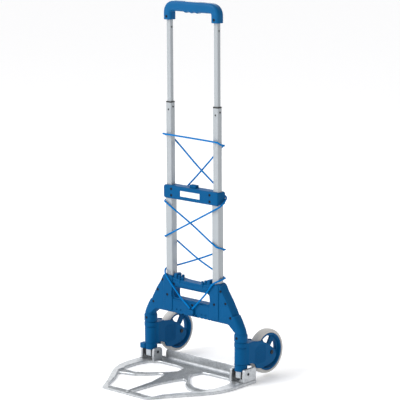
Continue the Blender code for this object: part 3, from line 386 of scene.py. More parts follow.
FINISHES: dict[str, Finish] = {
    # Polypropylene, injection moulded: satin, with an even fine spark-eroded grain.
    "frame": Finish(
        "blue_moulded_polypropylene", "#045588", "#034D7E", 0.46, grain_mm=0.9, grain_depth_mm=0.05,
        specular=0.06,
    ),
    # The grip's softer polymer: a brighter blue and a little glossier.
    "grip": Finish(
        "blue_moulded_grip", "#075C90", "#065486", 0.40, grain_mm=1.0, grain_depth_mm=0.05, specular=0.12
    ),
    # Grey ABS push button, moulded smooth.
    "button": Finish("grey_moulded_abs", "#C3C8CC", "#AEB4B9", 0.38, grain_mm=0.8, grain_depth_mm=0.02),
    # Extruded aluminium tube, silver lacquered: faint streaks run along the draw.
    "tube": Finish(
        "silver_lacquered_tube", "#A9AFB3", "#A0A6AB", 0.38, metallic=0.25, grain_mm=0.7,
        grain_depth_mm=0.008, stretch=(1.0, 1.0, 0.03), patch_mm=25.0, coat=0.25,
    ),
    # Steel, chemically blackened: dark blue-black, soft highlights.
    "screw": Finish("blackened_steel", "#161C26", "#0E1218", 0.42, metallic=0.6, grain_mm=0.5),
    # Black acetal, slippery and smooth.
    "black_part": Finish("black_acetal", "#1A1B1D", "#101112", 0.40, grain_mm=0.6, grain_depth_mm=0.02),
    # Zinc-plated steel: bright, slightly cloudy.
    "steel": Finish(
        "zinc_plated_steel", "#C6CBD0", "#A9AFB5", 0.30, metallic=1.0, grain_mm=1.5, grain_depth_mm=0.02
    ),
    # Die-cast aluminium, tumbled: pale satin metal with grey clouds.
    "cast_plate": CastMetal(
        "die_cast_aluminium", "#C8CBCE", "#A6AAAE", 0.40, metallic=0.75, grain_mm=1.6, grain_depth_mm=0.06,
        patch_mm=45.0, gloss_drift=0.1,
    ),
    # The same casting in its knurled strips, painted darker for the shade that gathers between the diamonds.
    "knurl": CastMetal(
        "knurled_cast_aluminium", "#94989C", "#6C7176", 0.42, metallic=0.8, grain_mm=1.0,
        grain_depth_mm=0.05, cloud_tint="#43474B",
    ),
    # Non-marking rubber, compression moulded: pale grey and matt.
    "tyre": Finish(
        "grey_rubber", "#C8C6C3", "#BAB8B4", 0.66, grain_mm=1.4, grain_depth_mm=0.05, patch_mm=30.0
    ),
    # Polyester braid over rubber: vivid blue and matt.
    "cord": BraidedSleeve("braided_polyester", "#0074BC", "#006CB0", 0.66, grain_mm=0.5, specular=0.05),
    # Printed polyester film, left blank.
    "label": Finish("white_label_film", "#EDF1F3", "#E3E8EB", 0.30, grain_mm=2.0, grain_depth_mm=0.01),
}


# ---- meshes -------------------------------------------------------------------------


def lift(point: Point, level: float, axis: Axis) -> tuple[float, float, float]:
    """Place an outline point at a level along an axis."""
    if axis is Axis.X:
        return (level, point[0], point[1])
    if axis is Axis.Y:
        return (point[0], level, point[1])
    return (point[0], point[1], level)


def round_corners(corners: Sequence[tuple[float, float, float]], steps: int = 6) -> Outline:
    """Round each corner of an outline with an arc.

    Args:
        corners: The (x, y, radius) of each corner, in order.
        steps: Chords in each arc.

    Returns:
        The rounded outline.
    """
    outline: Outline = []
    count = len(corners)
    for i, (x, y, radius) in enumerate(corners):
        if radius == 0:
            outline.append((x, y))
            continue
        here = Vector((x, y))
        back = Vector(corners[i - 1][:2]) - here
        ahead = Vector(corners[(i + 1) % count][:2]) - here
        before, after = back.normalized(), ahead.normalized()
        half = before.angle(after) / 2
        reach = min(radius / math.tan(half), 0.49 * min(back.length, ahead.length))
        centre = here + (before + after).normalized() * (reach / math.cos(half))
        start = here + before * reach - centre
        end = here + after * reach - centre
        sweep = start.angle_signed(end)
        for step in range(steps + 1):
            turned = Matrix.Rotation(-sweep * step / steps, 2) @ start
            outline.append(tuple(centre + turned))
    return outline


def mirrored(half: Sequence[Point]) -> Outline:
    """Close a half outline that starts and ends on x = 0 with its mirror image."""
    inner = [point for point in half if point[0] > 1e-6]
    return [half[0], *inner, half[-1], *[(-x, y) for x, y in reversed(inner)]]


def box_outline(
    width: float, height: float, radius: float, centre: Point = (0, 0), steps: int = 5
) -> Outline:
    """Outline of a rectangle with round corners.

    Args:
        width: Full size along the first axis.
        height: Full size along the second axis.
        radius: Corner radius.
        centre: Middle of the rectangle.
        steps: Chords in each corner.

    Returns:
        The outline, counter-clockwise.
    """
    x, y, a, b = centre[0], centre[1], width / 2, height / 2
    corners = [(x - a, y - b, radius), (x + a, y - b, radius), (x + a, y + b, radius), (x - a, y + b, radius)]
    return round_corners(corners, steps)


def disc_outline(radius: float, centre: Point = (0, 0), steps: int = 48) -> Outline:
    """Points around a circle, counter-clockwise."""
    turns = [2 * math.pi * step / steps for step in range(steps)]
    return [(centre[0] + radius * math.cos(a), centre[1] + radius * math.sin(a)) for a in turns]


def grown(outline: Outline, distance: float) -> Outline:
    """Move an outline outwards along its own normals.

    Args:
        outline: A closed outline, in either sense.
        distance: How far out; negative draws it in.

    Returns:
        The moved outline, point for point.
    """
    count = len(outline)
    area = sum(
        outline[i][0] * outline[(i + 1) % count][1] - outline[(i + 1) % count][0] * outline[i][1]
        for i in range(count)
    )
    sense = 1 if area > 0 else -1
    moved: Outline = []
    for i in range(count):
        here = Vector(outline[i])
        along = (here - Vector(outline[i - 1])).normalized()
        onward = (Vector(outline[(i + 1) % count]) - here).normalized()
        first = Vector((along.y, -along.x)) * sense
        second = Vector((onward.y, -onward.x)) * sense
        normal = first + second
        reach = normal.length_squared / 2
        moved.append(tuple(here + normal * (distance / max(reach, 0.5))))
    return moved


def loft(bm: bmesh.types.BMesh, rings: Sequence[tuple[Outline, float]], axis: Axis) -> None:
    """Add a closed body through outlines with equal counts at rising levels.

    Args:
        bm: Mesh that takes the body.
        rings: Each outline with its level.
        axis: Axis that the levels run along.
    """
    loops = [[bm.verts.new(lift(point, level, axis)) for point in outline] for outline, level in rings]
    for below, above in zip(loops, loops[1:]):
        for i in range(len(below)):
            j = (i + 1) % len(below)
            bm.faces.new((below[i], below[j], above[j], above[i]))
    bm.faces.new(loops[0])
    bm.faces.new(loops[-1])


def slab(
    bm: bmesh.types.BMesh, outline: Outline, low: float, high: float, axis: Axis, soft_low: float = 0.0,
    soft_high: float = 0.0, steps: int = 4,
) -> None:
    """Add an extruded outline whose two rims can be rounded.

    Args:
        bm: Mesh that takes the body.
        outline: The closed outline.
        low: Lower level.
        high: Upper level.
        axis: Axis of the extrusion.
        soft_low: Rim radius at the lower level.
        soft_high: Rim radius at the upper level.
        steps: Chords in each rim.
    """
    rings: list[tuple[Outline, float]] = []
    if soft_low:
        for step in range(steps + 1):
            angle = math.pi / 2 * step / steps
            inset = soft_low * (1 - math.sin(angle))
            rings.append((grown(outline, -inset), low + soft_low * (1 - math.cos(angle))))
    else:
        rings.append((outline, low))
    if soft_high:
        for step in range(steps + 1):
            angle = math.pi / 2 * (1 - step / steps)
            inset = soft_high * (1 - math.sin(angle))
            rings.append((grown(outline, -inset), high - soft_high * (1 - math.cos(angle))))
    else:
        rings.append((outline, high))
    loft(bm, rings, axis)


def one_slab(outline: Outline, low: float, high: float, axis: Axis, *soft: float) -> bmesh.types.BMesh:
    """Make a new mesh that holds one slab; soft is slab's rim radii and steps."""
    bm = bmesh.new()
    slab(bm, outline, low, high, axis, *soft)
    return bm


def turned(
    bm: bmesh.types.BMesh, profile: Sequence[Point], centre: tuple[float, float, float], axis: Axis,
    steps: int = 64,
) -> None:
    """Add a closed (radius, height) profile turned about an axis.

    Args:
        bm: Mesh that takes the body.
        profile: Closed profile; a point of radius 0 lies on the axis.
        centre: Point on the axis at height 0.
        axis: The axis.
        steps: Facets around.
    """
    rings = []
    for step in range(steps):
        angle = 2 * math.pi * step / steps
        ring = []
        for radius, height in profile:
            flat = (radius * math.cos(angle), radius * math.sin(angle))
            ring.append(bm.verts.new(Vector(lift(flat, height, axis)) + Vector(centre)))
        rings.append(ring)
    count = len(profile)
    for step in range(steps):
        here, there = rings[step], rings[(step + 1) % steps]
        for i in range(count):
            j = (i + 1) % count
            if profile[i][0] > 0 or profile[j][0] > 0:
                bm.faces.new((here[i], here[j], there[j], there[i]))
    bmesh.ops.remove_doubles(bm, verts=bm.verts[:], dist=1e-7)
    thin = [face for face in bm.faces if face.calc_area() < 1e-13]
    bmesh.ops.delete(bm, geom=thin, context="FACES_ONLY")


def softened(profile: Sequence[tuple[float, float, float]], steps: int = 4) -> list[Point]:
    """Round the corners of a turned profile; corners on the axis stay sharp."""
    return round_corners([(max(r, 0.0), h, soft) for r, h, soft in profile], steps)


def catmull_rom(window: Sequence[Vector], t: float) -> Vector:
    """Point on the curve between the middle two of four points."""
    a, b, c, d = window
    return (2 * b + (c - a) * t + (2 * a - 5 * b + 4 * c - d) * t**2 + (3 * b - a - 3 * c + d) * t**3) / 2


def smooth_path(points: Sequence[tuple[float, float, float]], spacing: float) -> list[Vector]:
    """Read evenly spaced points from a smooth curve through a route.

    Args:
        points: The route's own points.
        spacing: Distance between the points that are read.

    Returns:
        Points along the curve, both ends included.
    """
    path = [Vector(point) for point in points]
    ends = [2 * path[0] - path[1], *path, 2 * path[-1] - path[-2]]
    dense = [
        catmull_rom(ends[i - 1 : i + 3], step / 16) for i in range(1, len(ends) - 2) for step in range(16)
    ]
    dense.append(path[-1])
    evened = [dense[0]]
    for point in dense[1:-1]:
        if (point - evened[-1]).length >= spacing:
            evened.append(point)
    evened.append(dense[-1])
    return evened


def tube_along(bm: bmesh.types.BMesh, path: Sequence[Vector], radius: float, sides: int) -> None:
    """Add a round tube along a path, with its unrolled skin as the UV map "sleeve".

    Args:
        bm: Mesh that takes the tube.
        path: Ring centres.
        radius: Tube radius.
        sides: Facets around.
    """
    uv = bm.loops.layers.uv.new("sleeve")
    across = Vector((0, 0, 1)).cross(path[1] - path[0]).normalized()
    rings, lengths, run = [], [], 0.0
    for i, centre in enumerate(path):
        before, after = path[max(i - 1, 0)], path[min(i + 1, len(path) - 1)]
        heading = (after - before).normalized()
        across = (across - heading * across.dot(heading)).normalized()
        other = heading.cross(across)
        ring = []
        for side in range(sides):
            angle = 2 * math.pi * side / sides
            ring.append(bm.verts.new(centre + radius * (math.cos(angle) * across + math.sin(angle) * other)))
        rings.append(ring)
        run += (centre - before).length if i else 0.0
        lengths.append(run)
    strip = 2 * math.pi * radius / sides
    for i in range(len(rings) - 1):
        for side in range(sides):
            following = (side + 1) % sides
            corners = (rings[i][side], rings[i][following], rings[i + 1][following], rings[i + 1][side])
            face = bm.faces.new(corners)
            spots = ((side, i), (side + 1, i), (side + 1, i + 1), (side, i + 1))
            for loop, (step, ring_number) in zip(face.loops, spots):
                loop[uv].uv = (step * strip, lengths[ring_number])
    bm.faces.new(list(reversed(rings[0])))
    bm.faces.new(rings[-1])


def piece_from(
    name: str, bm: bmesh.types.BMesh, material: bpy.types.Material, crease: float = 32
) -> bpy.types.Object:
    """Turn a bmesh into a shaded object.

    Args:
        name: Name of the piece.
        bm: Its mesh, which is freed.
        material: Its finish.
        crease: Angle in degrees above which an edge stays sharp.

    Returns:
        The object.
    """
    bmesh.ops.recalc_face_normals(bm, faces=bm.faces[:])
    mesh = bpy.data.meshes.new(name)
    bm.to_mesh(mesh)
    bm.free()
    made = bpy.data.objects.new(name, mesh)
    bpy.context.scene.collection.objects.link(made)
    mesh.materials.append(material)
    shade(made, crease)
    return made


def shade(made: bpy.types.Object, crease: float = 32) -> None:
    """Shade an object smooth except at its sharp edges, with flat faces kept flat."""
    made.data.shade_smooth()
    made.data.set_sharp_from_angle(angle=math.radians(crease))
    if "flat_faces" not in made.modifiers:
        weighted = made.modifiers.new("flat_faces", "WEIGHTED_NORMAL")
        weighted.keep_sharp = True


def carve(target: bpy.types.Object, tool_mesh: bmesh.types.BMesh, operation: str = "DIFFERENCE") -> None:
    """Cut a body from an object, or join it on, and keep the result as its mesh.

    Args:
        target: The object that changes.
        tool_mesh: The tool body, which is used up.
        operation: DIFFERENCE, UNION or INTERSECT.
    """
    bmesh.ops.recalc_face_normals(tool_mesh, faces=tool_mesh.faces[:])
    mesh = bpy.data.meshes.new("tool")
    tool_mesh.to_mesh(mesh)
    tool_mesh.free()
    tool = bpy.data.objects.new("tool", mesh)
    bpy.context.scene.collection.objects.link(tool)
    for modifier in list(target.modifiers):
        target.modifiers.remove(modifier)
    step = target.modifiers.new("carve", "BOOLEAN")
    step.operation = operation
    step.solver = "EXACT"
    step.object = tool
    graph = bpy.context.evaluated_depsgraph_get()
    result = bpy.data.meshes.new_from_object(target.evaluated_get(graph))
    target.modifiers.clear()
    target.data = result
    bpy.data.objects.remove(tool, do_unlink=True)
    shade(target)


def sink(tool: bmesh.types.BMesh, node: str, depth: float) -> None:
    """Add the cutter that lets a screw head lie a little below the skin.

    Args:
        tool: Mesh that takes the cutter.
        node: CAD screw, pointing along Y.
        depth: How far the recess goes past the screw's head face.
    """
    low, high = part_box(node)
    middle = (low + high) / 2
    slab(tool, disc_outline(SCREW_RECESS, (middle.x, middle.z), 32), -0.03, low.y + depth, Axis.Y)


class Workshop:
    """Holds the materials and settles each piece on its body."""

    def __init__(self, frame: dict[str, Any]) -> None:
        """Build every finish once and keep the frame.
        """
        self.nodes: dict[str, bpy.types.Object] = frame["nodes"]
        self.paint = {slot: finish.build() for slot, finish in FINISHES.items()}

    def settle(
        self, piece: bpy.types.Object, body: str, replaced: Sequence[str] = ()
    ) -> bpy.types.Object:
        """Ride a piece on its body and hide the nodes it stands for.

        Args:
            piece: The finished piece.
            body: CAD body that it moves with.
            replaced: CAD nodes that it stands for.

        Returns:
            The same piece.
        """
        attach(piece, body)
        if replaced:
            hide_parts(*replaced)
        LOG.info("%s rides on %s and replaces %d nodes", piece.name, body, len(replaced))
        return piece

    def dress(self, node: str, slot: str) -> None:
        """Give a CAD node that stays visible its finish."""
        kept = self.nodes[node]
        kept.data.materials.clear()
        kept.data.materials.append(self.paint[slot])
        shade(kept, 40)
        LOG.info("%s keeps its CAD shape", node)


# ---- studio -------------------------------------------------------------------------


@dataclass
class Studio:
    """Camera, floor and soft light.

    Attributes:
        azimuth: Degrees round from the front, towards +X.
        elevation: Degrees above the horizon.
        roll: Degrees of tilt about the line of sight.
        distance: Metres from the look-at point.
        focal: Focal length, as a multiple of the sensor's width.
        sideways: How far the look-at point lies along the picture's width.
        height: Height of the look-at point.
        centre: Where the optical axis meets the frame, as shares from its top left corner.
    """

    azimuth: float = 42.0975
    elevation: float = 11.4818
    roll: float = -0.2553
    distance: float = 4.9668
    focal: float = 4.5595
    sideways: float = 0.0320
    height: float = 0.4563
    centre: Point = (0.5150, 0.52575)
    sensor_mm: float = 36.0

    def build_camera(self) -> None:
        """Set up the camera, seeing the cart from its front right."""
        turn, rise, tilt = (math.radians(a) for a in (self.azimuth, self.elevation, self.roll))
        back = Vector((math.sin(turn) * math.cos(rise), -math.cos(turn) * math.cos(rise), math.sin(rise)))
        right = Vector((math.cos(turn), math.sin(turn), 0.0))
        up = back.cross(right)
        rolled_right = right * math.cos(tilt) + up * math.sin(tilt)
        rolled_up = up * math.cos(tilt) - right * math.sin(tilt)
        target = right * self.sideways + Vector((0, 0, self.height))
        data = bpy.data.cameras.new("camera")
        data.sensor_width = self.sensor_mm
        data.lens = self.focal * self.sensor_mm
        data.shift_x = 0.5 - self.centre[0]
        data.shift_y = self.centre[1] - 0.5
        data.clip_end = 100.0
        camera = bpy.data.objects.new("camera", data)
        axes = Matrix((rolled_right, rolled_up, back)).transposed().to_4x4()
        camera.matrix_world = Matrix.Translation(target + back * self.distance) @ axes
        bpy.context.scene.collection.objects.link(camera)
        bpy.context.scene.camera = camera
        bpy.context.scene.view_settings.view_transform = "Standard"

    def build_floor(self) -> None:
        """Lay a plain pale floor under the cart, lit faintly from below as a light table is."""
        bm = bmesh.new()
        slab(bm, disc_outline(14.0, steps=96), -0.02, 0.0, Axis.Z)
        paper = Finish("studio_paper", "#FCFCFD", "#FAFAFB", 0.90, grain_mm=3.0, grain_depth_mm=0.02).build()
        glow = paper.node_tree.nodes["Principled BSDF"].inputs
        glow["Emission Color"].default_value = (1.0, 1.0, 1.0, 1.0)
        glow["Emission Strength"].default_value = 0.13
        piece_from("studio_floor", bm, paper)

    def build_light(self) -> None:
        """Light the cart softly from the front left, with a bright even sky."""
        world = bpy.data.worlds.new("soft_sky")
        world.use_nodes = True
        sky = world.node_tree.nodes["Background"]
        sky.inputs["Color"].default_value = (1.0, 1.0, 1.0, 1.0)
        tree = world.node_tree
        heading = add_node(tree, "ShaderNodeTexCoord").outputs["Generated"]
        across = add_node(tree, "ShaderNodeSeparateXYZ", {}, {}, {"Vector": heading}).outputs["X"]
        span = {"From Min": -0.4, "From Max": 0.7, "To Min": 1.12, "To Max": 0.47}
        strength = add_node(tree, "ShaderNodeMapRange", {}, span, {"Value": across}).outputs["Result"]
        tree.links.new(strength, sky.inputs["Strength"])
        bpy.context.scene.world = world
        for name, place, size, power in (
            ("key_panel", (-1.6, -3.0, 3.2), 1.8, 95.0), ("fill_panel", (2.6, -2.4, 1.4), 2.4, 5.0),
            ("rim_panel", (-1.6, 3.0, 2.6), 2.0, 20.0),
        ):
            lamp = bpy.data.lights.new(name, "AREA")
            lamp.size = size
            lamp.energy = power
            panel = bpy.data.objects.new(name, lamp)
            panel.location = place
            aim = Vector((0, 0, 0.45)) - Vector(place)
            panel.rotation_euler = aim.to_track_quat("-Z", "Y").to_euler()
            bpy.context.scene.collection.objects.link(panel)


# ---- elastic cord -------------------------------------------------------------------


@dataclass
class ElasticCord:
    """One elastic cord, laced between the uprights from clip to clip."""

    diameter: float = 0.0048
    sides: int = 14
    route: tuple[tuple[float, float, float], ...] = (
        # from the clip up to the left upright, round it and back to the right
        (-0.0010, -0.0195, 0.1842),
        (-0.0065, -0.0195, 0.1895),
        (-0.0350, -0.0195, 0.2105),
        (-0.0640, -0.0214, 0.2400),
        (-0.0835, -0.0216, 0.2610),
        (-0.0890, -0.0212, 0.2675),
        (-0.0945, -0.0175, 0.2730),
        (-0.1010, -0.0085, 0.2790),
        (-0.1010, 0.0085, 0.2840),
        (-0.0855, 0.0145, 0.2865),
        (0.0050, 0.0165, 0.3200),
        (0.0885, 0.0158, 0.3550),
        (0.1010, 0.0085, 0.3605),
        (0.1010, -0.0085, 0.3670),
        (0.0855, -0.0145, 0.3735),
        (0.0000, -0.0105, 0.4190),
        (-0.0855, -0.0145, 0.4660),
        (-0.1010, -0.0085, 0.4720),
        (-0.1010, 0.0085, 0.4755),
        # behind the connector and round the middle tubes
        (-0.0960, 0.0150, 0.4770),
        (-0.0830, 0.0195, 0.4800),
        (-0.0600, 0.0200, 0.5000),
        (0.0000, 0.0200, 0.5560),
        (0.0855, 0.0145, 0.6360),
        (0.1010, 0.0085, 0.6440),
        (0.1010, -0.0085, 0.6500),
        (0.0855, -0.0145, 0.6555),
        (-0.0855, -0.0145, 0.6590),
        (-0.1010, -0.0085, 0.6580),
        (-0.1010, 0.0085, 0.6500),
        (-0.0855, 0.0145, 0.6425),
        (0.0000, 0.0145, 0.5770),
        (0.0600, 0.0205, 0.5300),
        (0.0850, 0.0205, 0.5110),
        # round the end of the connector and down again
        (0.0990, 0.0195, 0.5020),
        (0.1050, 0.0060, 0.4930),
        (0.1045, -0.0100, 0.4820),
        (0.0880, -0.0160, 0.4710),
        (0.0000, -0.0160, 0.4240),
        (-0.0855, -0.0145, 0.3790),
        (-0.1010, -0.0085, 0.3720),
        (-0.1010, 0.0085, 0.3660),
        (-0.0855, 0.0145, 0.3620),
        (0.0050, 0.0110, 0.3185),
        (0.0885, 0.0158, 0.2830),
        (0.1010, 0.0085, 0.2800),
        (0.1010, -0.0085, 0.2770),
        (0.0945, -0.0175, 0.2730),
        (0.0830, -0.0216, 0.2640),
        (0.0600, -0.0205, 0.2360),
        (0.0330, -0.0195, 0.2085),
        (0.0140, -0.0195, 0.1895),
        (0.0090, -0.0195, 0.1842),
    )

    def build(self, shop: Workshop) -> None:
        """Args:
            shop: Materials and bodies.
        """
        path = smooth_path(self.route, 0.004)
        bm = bmesh.new()
        tube_along(bm, path, self.diameter / 2, self.sides)
        cord = piece_from("laced_cord", bm, shop.paint["cord"], 60)
        cord.modifiers.clear()
        shop.settle(cord, "base", ("elastic_cord",))
        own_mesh(cord)


# ---- screws -------------------------------------------------------------------------


@dataclass
class PanScrew:
    """A pan head screw with a cross recess, head towards -Y."""

    head_radius: float = 0.0034
    head_height: float = 0.0018
    slot_width: float = 0.0009
    slot_length: float = 0.0038
    mesh: Optional[bpy.types.Mesh] = field(default=None, init=False)

    def place(self, shop: Workshop, node: str, body: str) -> None:
        """Put a screw where a CAD screw is.

        Args:
            shop: Materials and bodies.
            node: The CAD screw that it stands for.
            body: The body that it rides on.
        """
        low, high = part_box(node)
        middle = (low + high) / 2
        if self.mesh is None:
            self.mesh = self.make_mesh(shop, high.y - low.y)
        screw = bpy.data.objects.new(f"{node}_head", self.mesh)
        screw.location = (middle.x, low.y, middle.z)
        screw.rotation_euler = (0, math.radians((middle.x * 9000 + middle.z * 7000) % 90), 0)
        bpy.context.scene.collection.objects.link(screw)
        shop.settle(screw, body, (node,))

    def make_mesh(self, shop: Workshop, length: float) -> bpy.types.Mesh:
        """Turn the screw and press the cross into its head.

        Args:
            shop: Materials and bodies.
            length: Full length of the screw.

        Returns:
            The screw's mesh, head face at the origin.
        """
        bm = bmesh.new()
        profile = softened(
            [
                (0, 0, 0), (self.head_radius, 0.0002, 0.0011), (self.head_radius, self.head_height, 0.0002),
                (0.0015, self.head_height, 0), (0.0013, min(length, 0.006), 0), (0, min(length, 0.006), 0),
            ]
        )
        turned(bm, profile, (0, 0, 0), Axis.Y, 32)
        screw = piece_from("screw_pattern", bm, shop.paint["screw"])
        for turn in (0, 90):
            tool = bmesh.new()
            slot = box_outline(self.slot_length, self.slot_width, 0.0003, steps=2)
            slab(tool, slot, -0.001, 0.0011, Axis.Y)
            bmesh.ops.rotate(tool, verts=tool.verts[:], matrix=Matrix.Rotation(math.radians(turn), 3, "Y"))
            carve(screw, tool)
        mesh = screw.data
        bpy.data.objects.remove(screw, do_unlink=True)
        return mesh


# ---- grip ---------------------------------------------------------------------------


@dataclass
class Grip:
    """The U-shaped grip, swept in two halves, with its push button."""

    leg_x: float = 0.0859
    bottom: float = 0.9715
    bar_z: float = 1.0088
    bend: float = 0.0175
    half_thick: float = 0.0138
    half_depth: float = 0.0135
    crown: float = 0.0012
    wave_depth: float = 0.0030
    wave_pitch: float = 0.0205
    wave_span: float = 0.033

    def centre_line(self) -> list[tuple[Vector, Vector]]:
        """Points of the sweep in (x, z), each with its outward normal."""
        line: list[tuple[Vector, Vector]] = []
        knee = self.bar_z - self.bend
        for step in range(6):
            z = self.bottom + (knee - self.bottom) * step / 6
            line.append((Vector((-self.leg_x, z)), Vector((-1, 0))))
        for step in range(11):
            angle = math.pi - math.pi / 2 * step / 10
            normal = Vector((math.cos(angle), math.sin(angle)))
            hub = Vector((-self.leg_x + self.bend, knee))
            line.append((hub + normal * self.bend, normal))
        flat = self.leg_x - self.bend
        for step in range(1, 60):
            x = -flat + 2 * flat * step / 60
            line.append((Vector((x, self.bar_z)), Vector((0, 1))))
        right = [(Vector((-point.x, point.y)), Vector((-normal.x, normal.y))) for point, normal in line[:17]]
        return line + right[::-1]

    def half(self, bm: bmesh.types.BMesh, side: int) -> None:
        """Sweep the front (-1) or back (+1) half of the grip.

        Args:
            bm: Mesh that takes the half.
            side: Sign of y.
        """
        loops = []
        for point, normal in self.centre_line():
            ring = []
            for step in range(17):
                angle = math.pi * step / 16 - math.pi / 2
                out = math.copysign(abs(math.sin(angle)) ** 0.62, math.sin(angle)) * self.half_thick
                depth = abs(math.cos(angle)) ** 0.62 * (self.half_depth - 0.0002) + 0.0002
                if step in (0, 16):
                    depth, out = 0.0002, out * 0.965
                out += self.shaping(point, out)
                place = point + normal * out
                ring.append(bm.verts.new((place.x, side * depth, place.y)))
            loops.append(ring)
        for here, there in zip(loops, loops[1:]):
            for i in range(len(here)):
                j = (i + 1) % len(here)
                bm.faces.new((here[i], here[j], there[j], there[i]))
        bm.faces.new(loops[0])
        bm.faces.new(loops[-1])

    def shaping(self, point: Vector, out: float) -> float:
        """How far the skin leaves the plain section, for the finger waves and the crown.

        Args:
            point: Point of the centre line.
            out: Distance of the skin from it, inner side negative.

        Returns:
            The extra distance outwards.
        """
        if point.y < self.bar_z - 0.001:
            return 0.0
        if out < -0.004:
            fade = max(0.0, 1 - (abs(point.x) / self.wave_span) ** 6)
            wave = 0.5 - 0.5 * math.cos(2 * math.pi * (point.x / self.wave_pitch + 0.5))
            return -self.wave_depth * wave * fade * min(1.0, (-out - 0.004) / 0.006)
        if out > 0.004:
            return self.crown * (0.6 - (point.x / self.leg_x) ** 2)
        return 0.0

    def build(self, shop: Workshop) -> None:
        """Make both halves, the screw recesses in the front one, and the button.

        Args:
            shop: Materials and bodies.
        """
        button_low, button_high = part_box("grip_button")
        yoke_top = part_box("release_yoke")[1].z
        width, depth = button_high.x - button_low.x, button_high.y - button_low.y
        for word, side in (("front", -1), ("back", 1)):
            bm = bmesh.new()
            self.half(bm, side)
            cover = piece_from(f"grip_{word}_cover", bm, shop.paint["grip"], 40)
            well = bmesh.new()
            slab(well, box_outline(width + 0.0012, depth + 0.0012, 0.004), yoke_top - 0.0045, 1.05, Axis.Z)
            carve(cover, well)
            if side < 0:
                holes = bmesh.new()
                for hand in Side:
                    sink(holes, f"grip_screw_{hand.word}", 0.0012)
                carve(cover, holes)
            shop.settle(cover, "upper_stage", (f"grip_{word}_shell",))
        bm = bmesh.new()
        slab(bm, box_outline(width, depth, 0.0040), button_low.z, button_high.z, Axis.Z, 0, 0.0016)
        button = piece_from("push_button_cap", bm, shop.paint["button"])
        shop.settle(button, "grip_push_button", ("grip_button",))
        shop.dress("release_yoke", "steel")


# ---- uprights -----------------------------------------------------------------------


@dataclass
class Uprights:
    """The three tube stages, with their collars, pins and bushes."""

    def build(self, shop: Workshop) -> None:
        """Give the tubes their lacquer and the small parts theirs.

        Args:
            shop: Materials and bodies.
        """
        for hand in Side:
            for stage in ("lower", "middle", "upper"):
                shop.dress(f"{stage}_tube_{hand.word}", "tube")
            for stage in ("middle", "upper"):
                shop.dress(f"{stage}_bush_{hand.word}", "black_part")
            shop.dress(f"collar_{hand.word}", "black_part")
            shop.dress(f"lock_pin_{hand.word}", "black_part")
            self.side_pin(shop, hand)

    def side_pin(self, shop: Workshop, hand: Side) -> None:
        """Add the small black rivet on the side of a middle tube.

        Args:
            shop: Materials and bodies.
            hand: Which side.
        """
        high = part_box(f"middle_tube_{hand.word}")[1]
        bm = bmesh.new()
        profile = softened([(0, 0, 0), (0.0027, 0, 0.0004), (0.0027, 0.0012, 0), (0, 0.0012, 0)], 3)
        turned(bm, profile, (high.x + 0.0007, 0, high.z - 0.0115), Axis.X, 24)
        for vert in bm.verts:
            vert.co.x = 2 * (high.x + 0.0007) - vert.co.x
        pin = piece_from(f"side_rivet_{hand.word}", bm, shop.paint["black_part"])
        shop.settle(pin, "middle_stage")


# ---- connector ----------------------------------------------------------------------


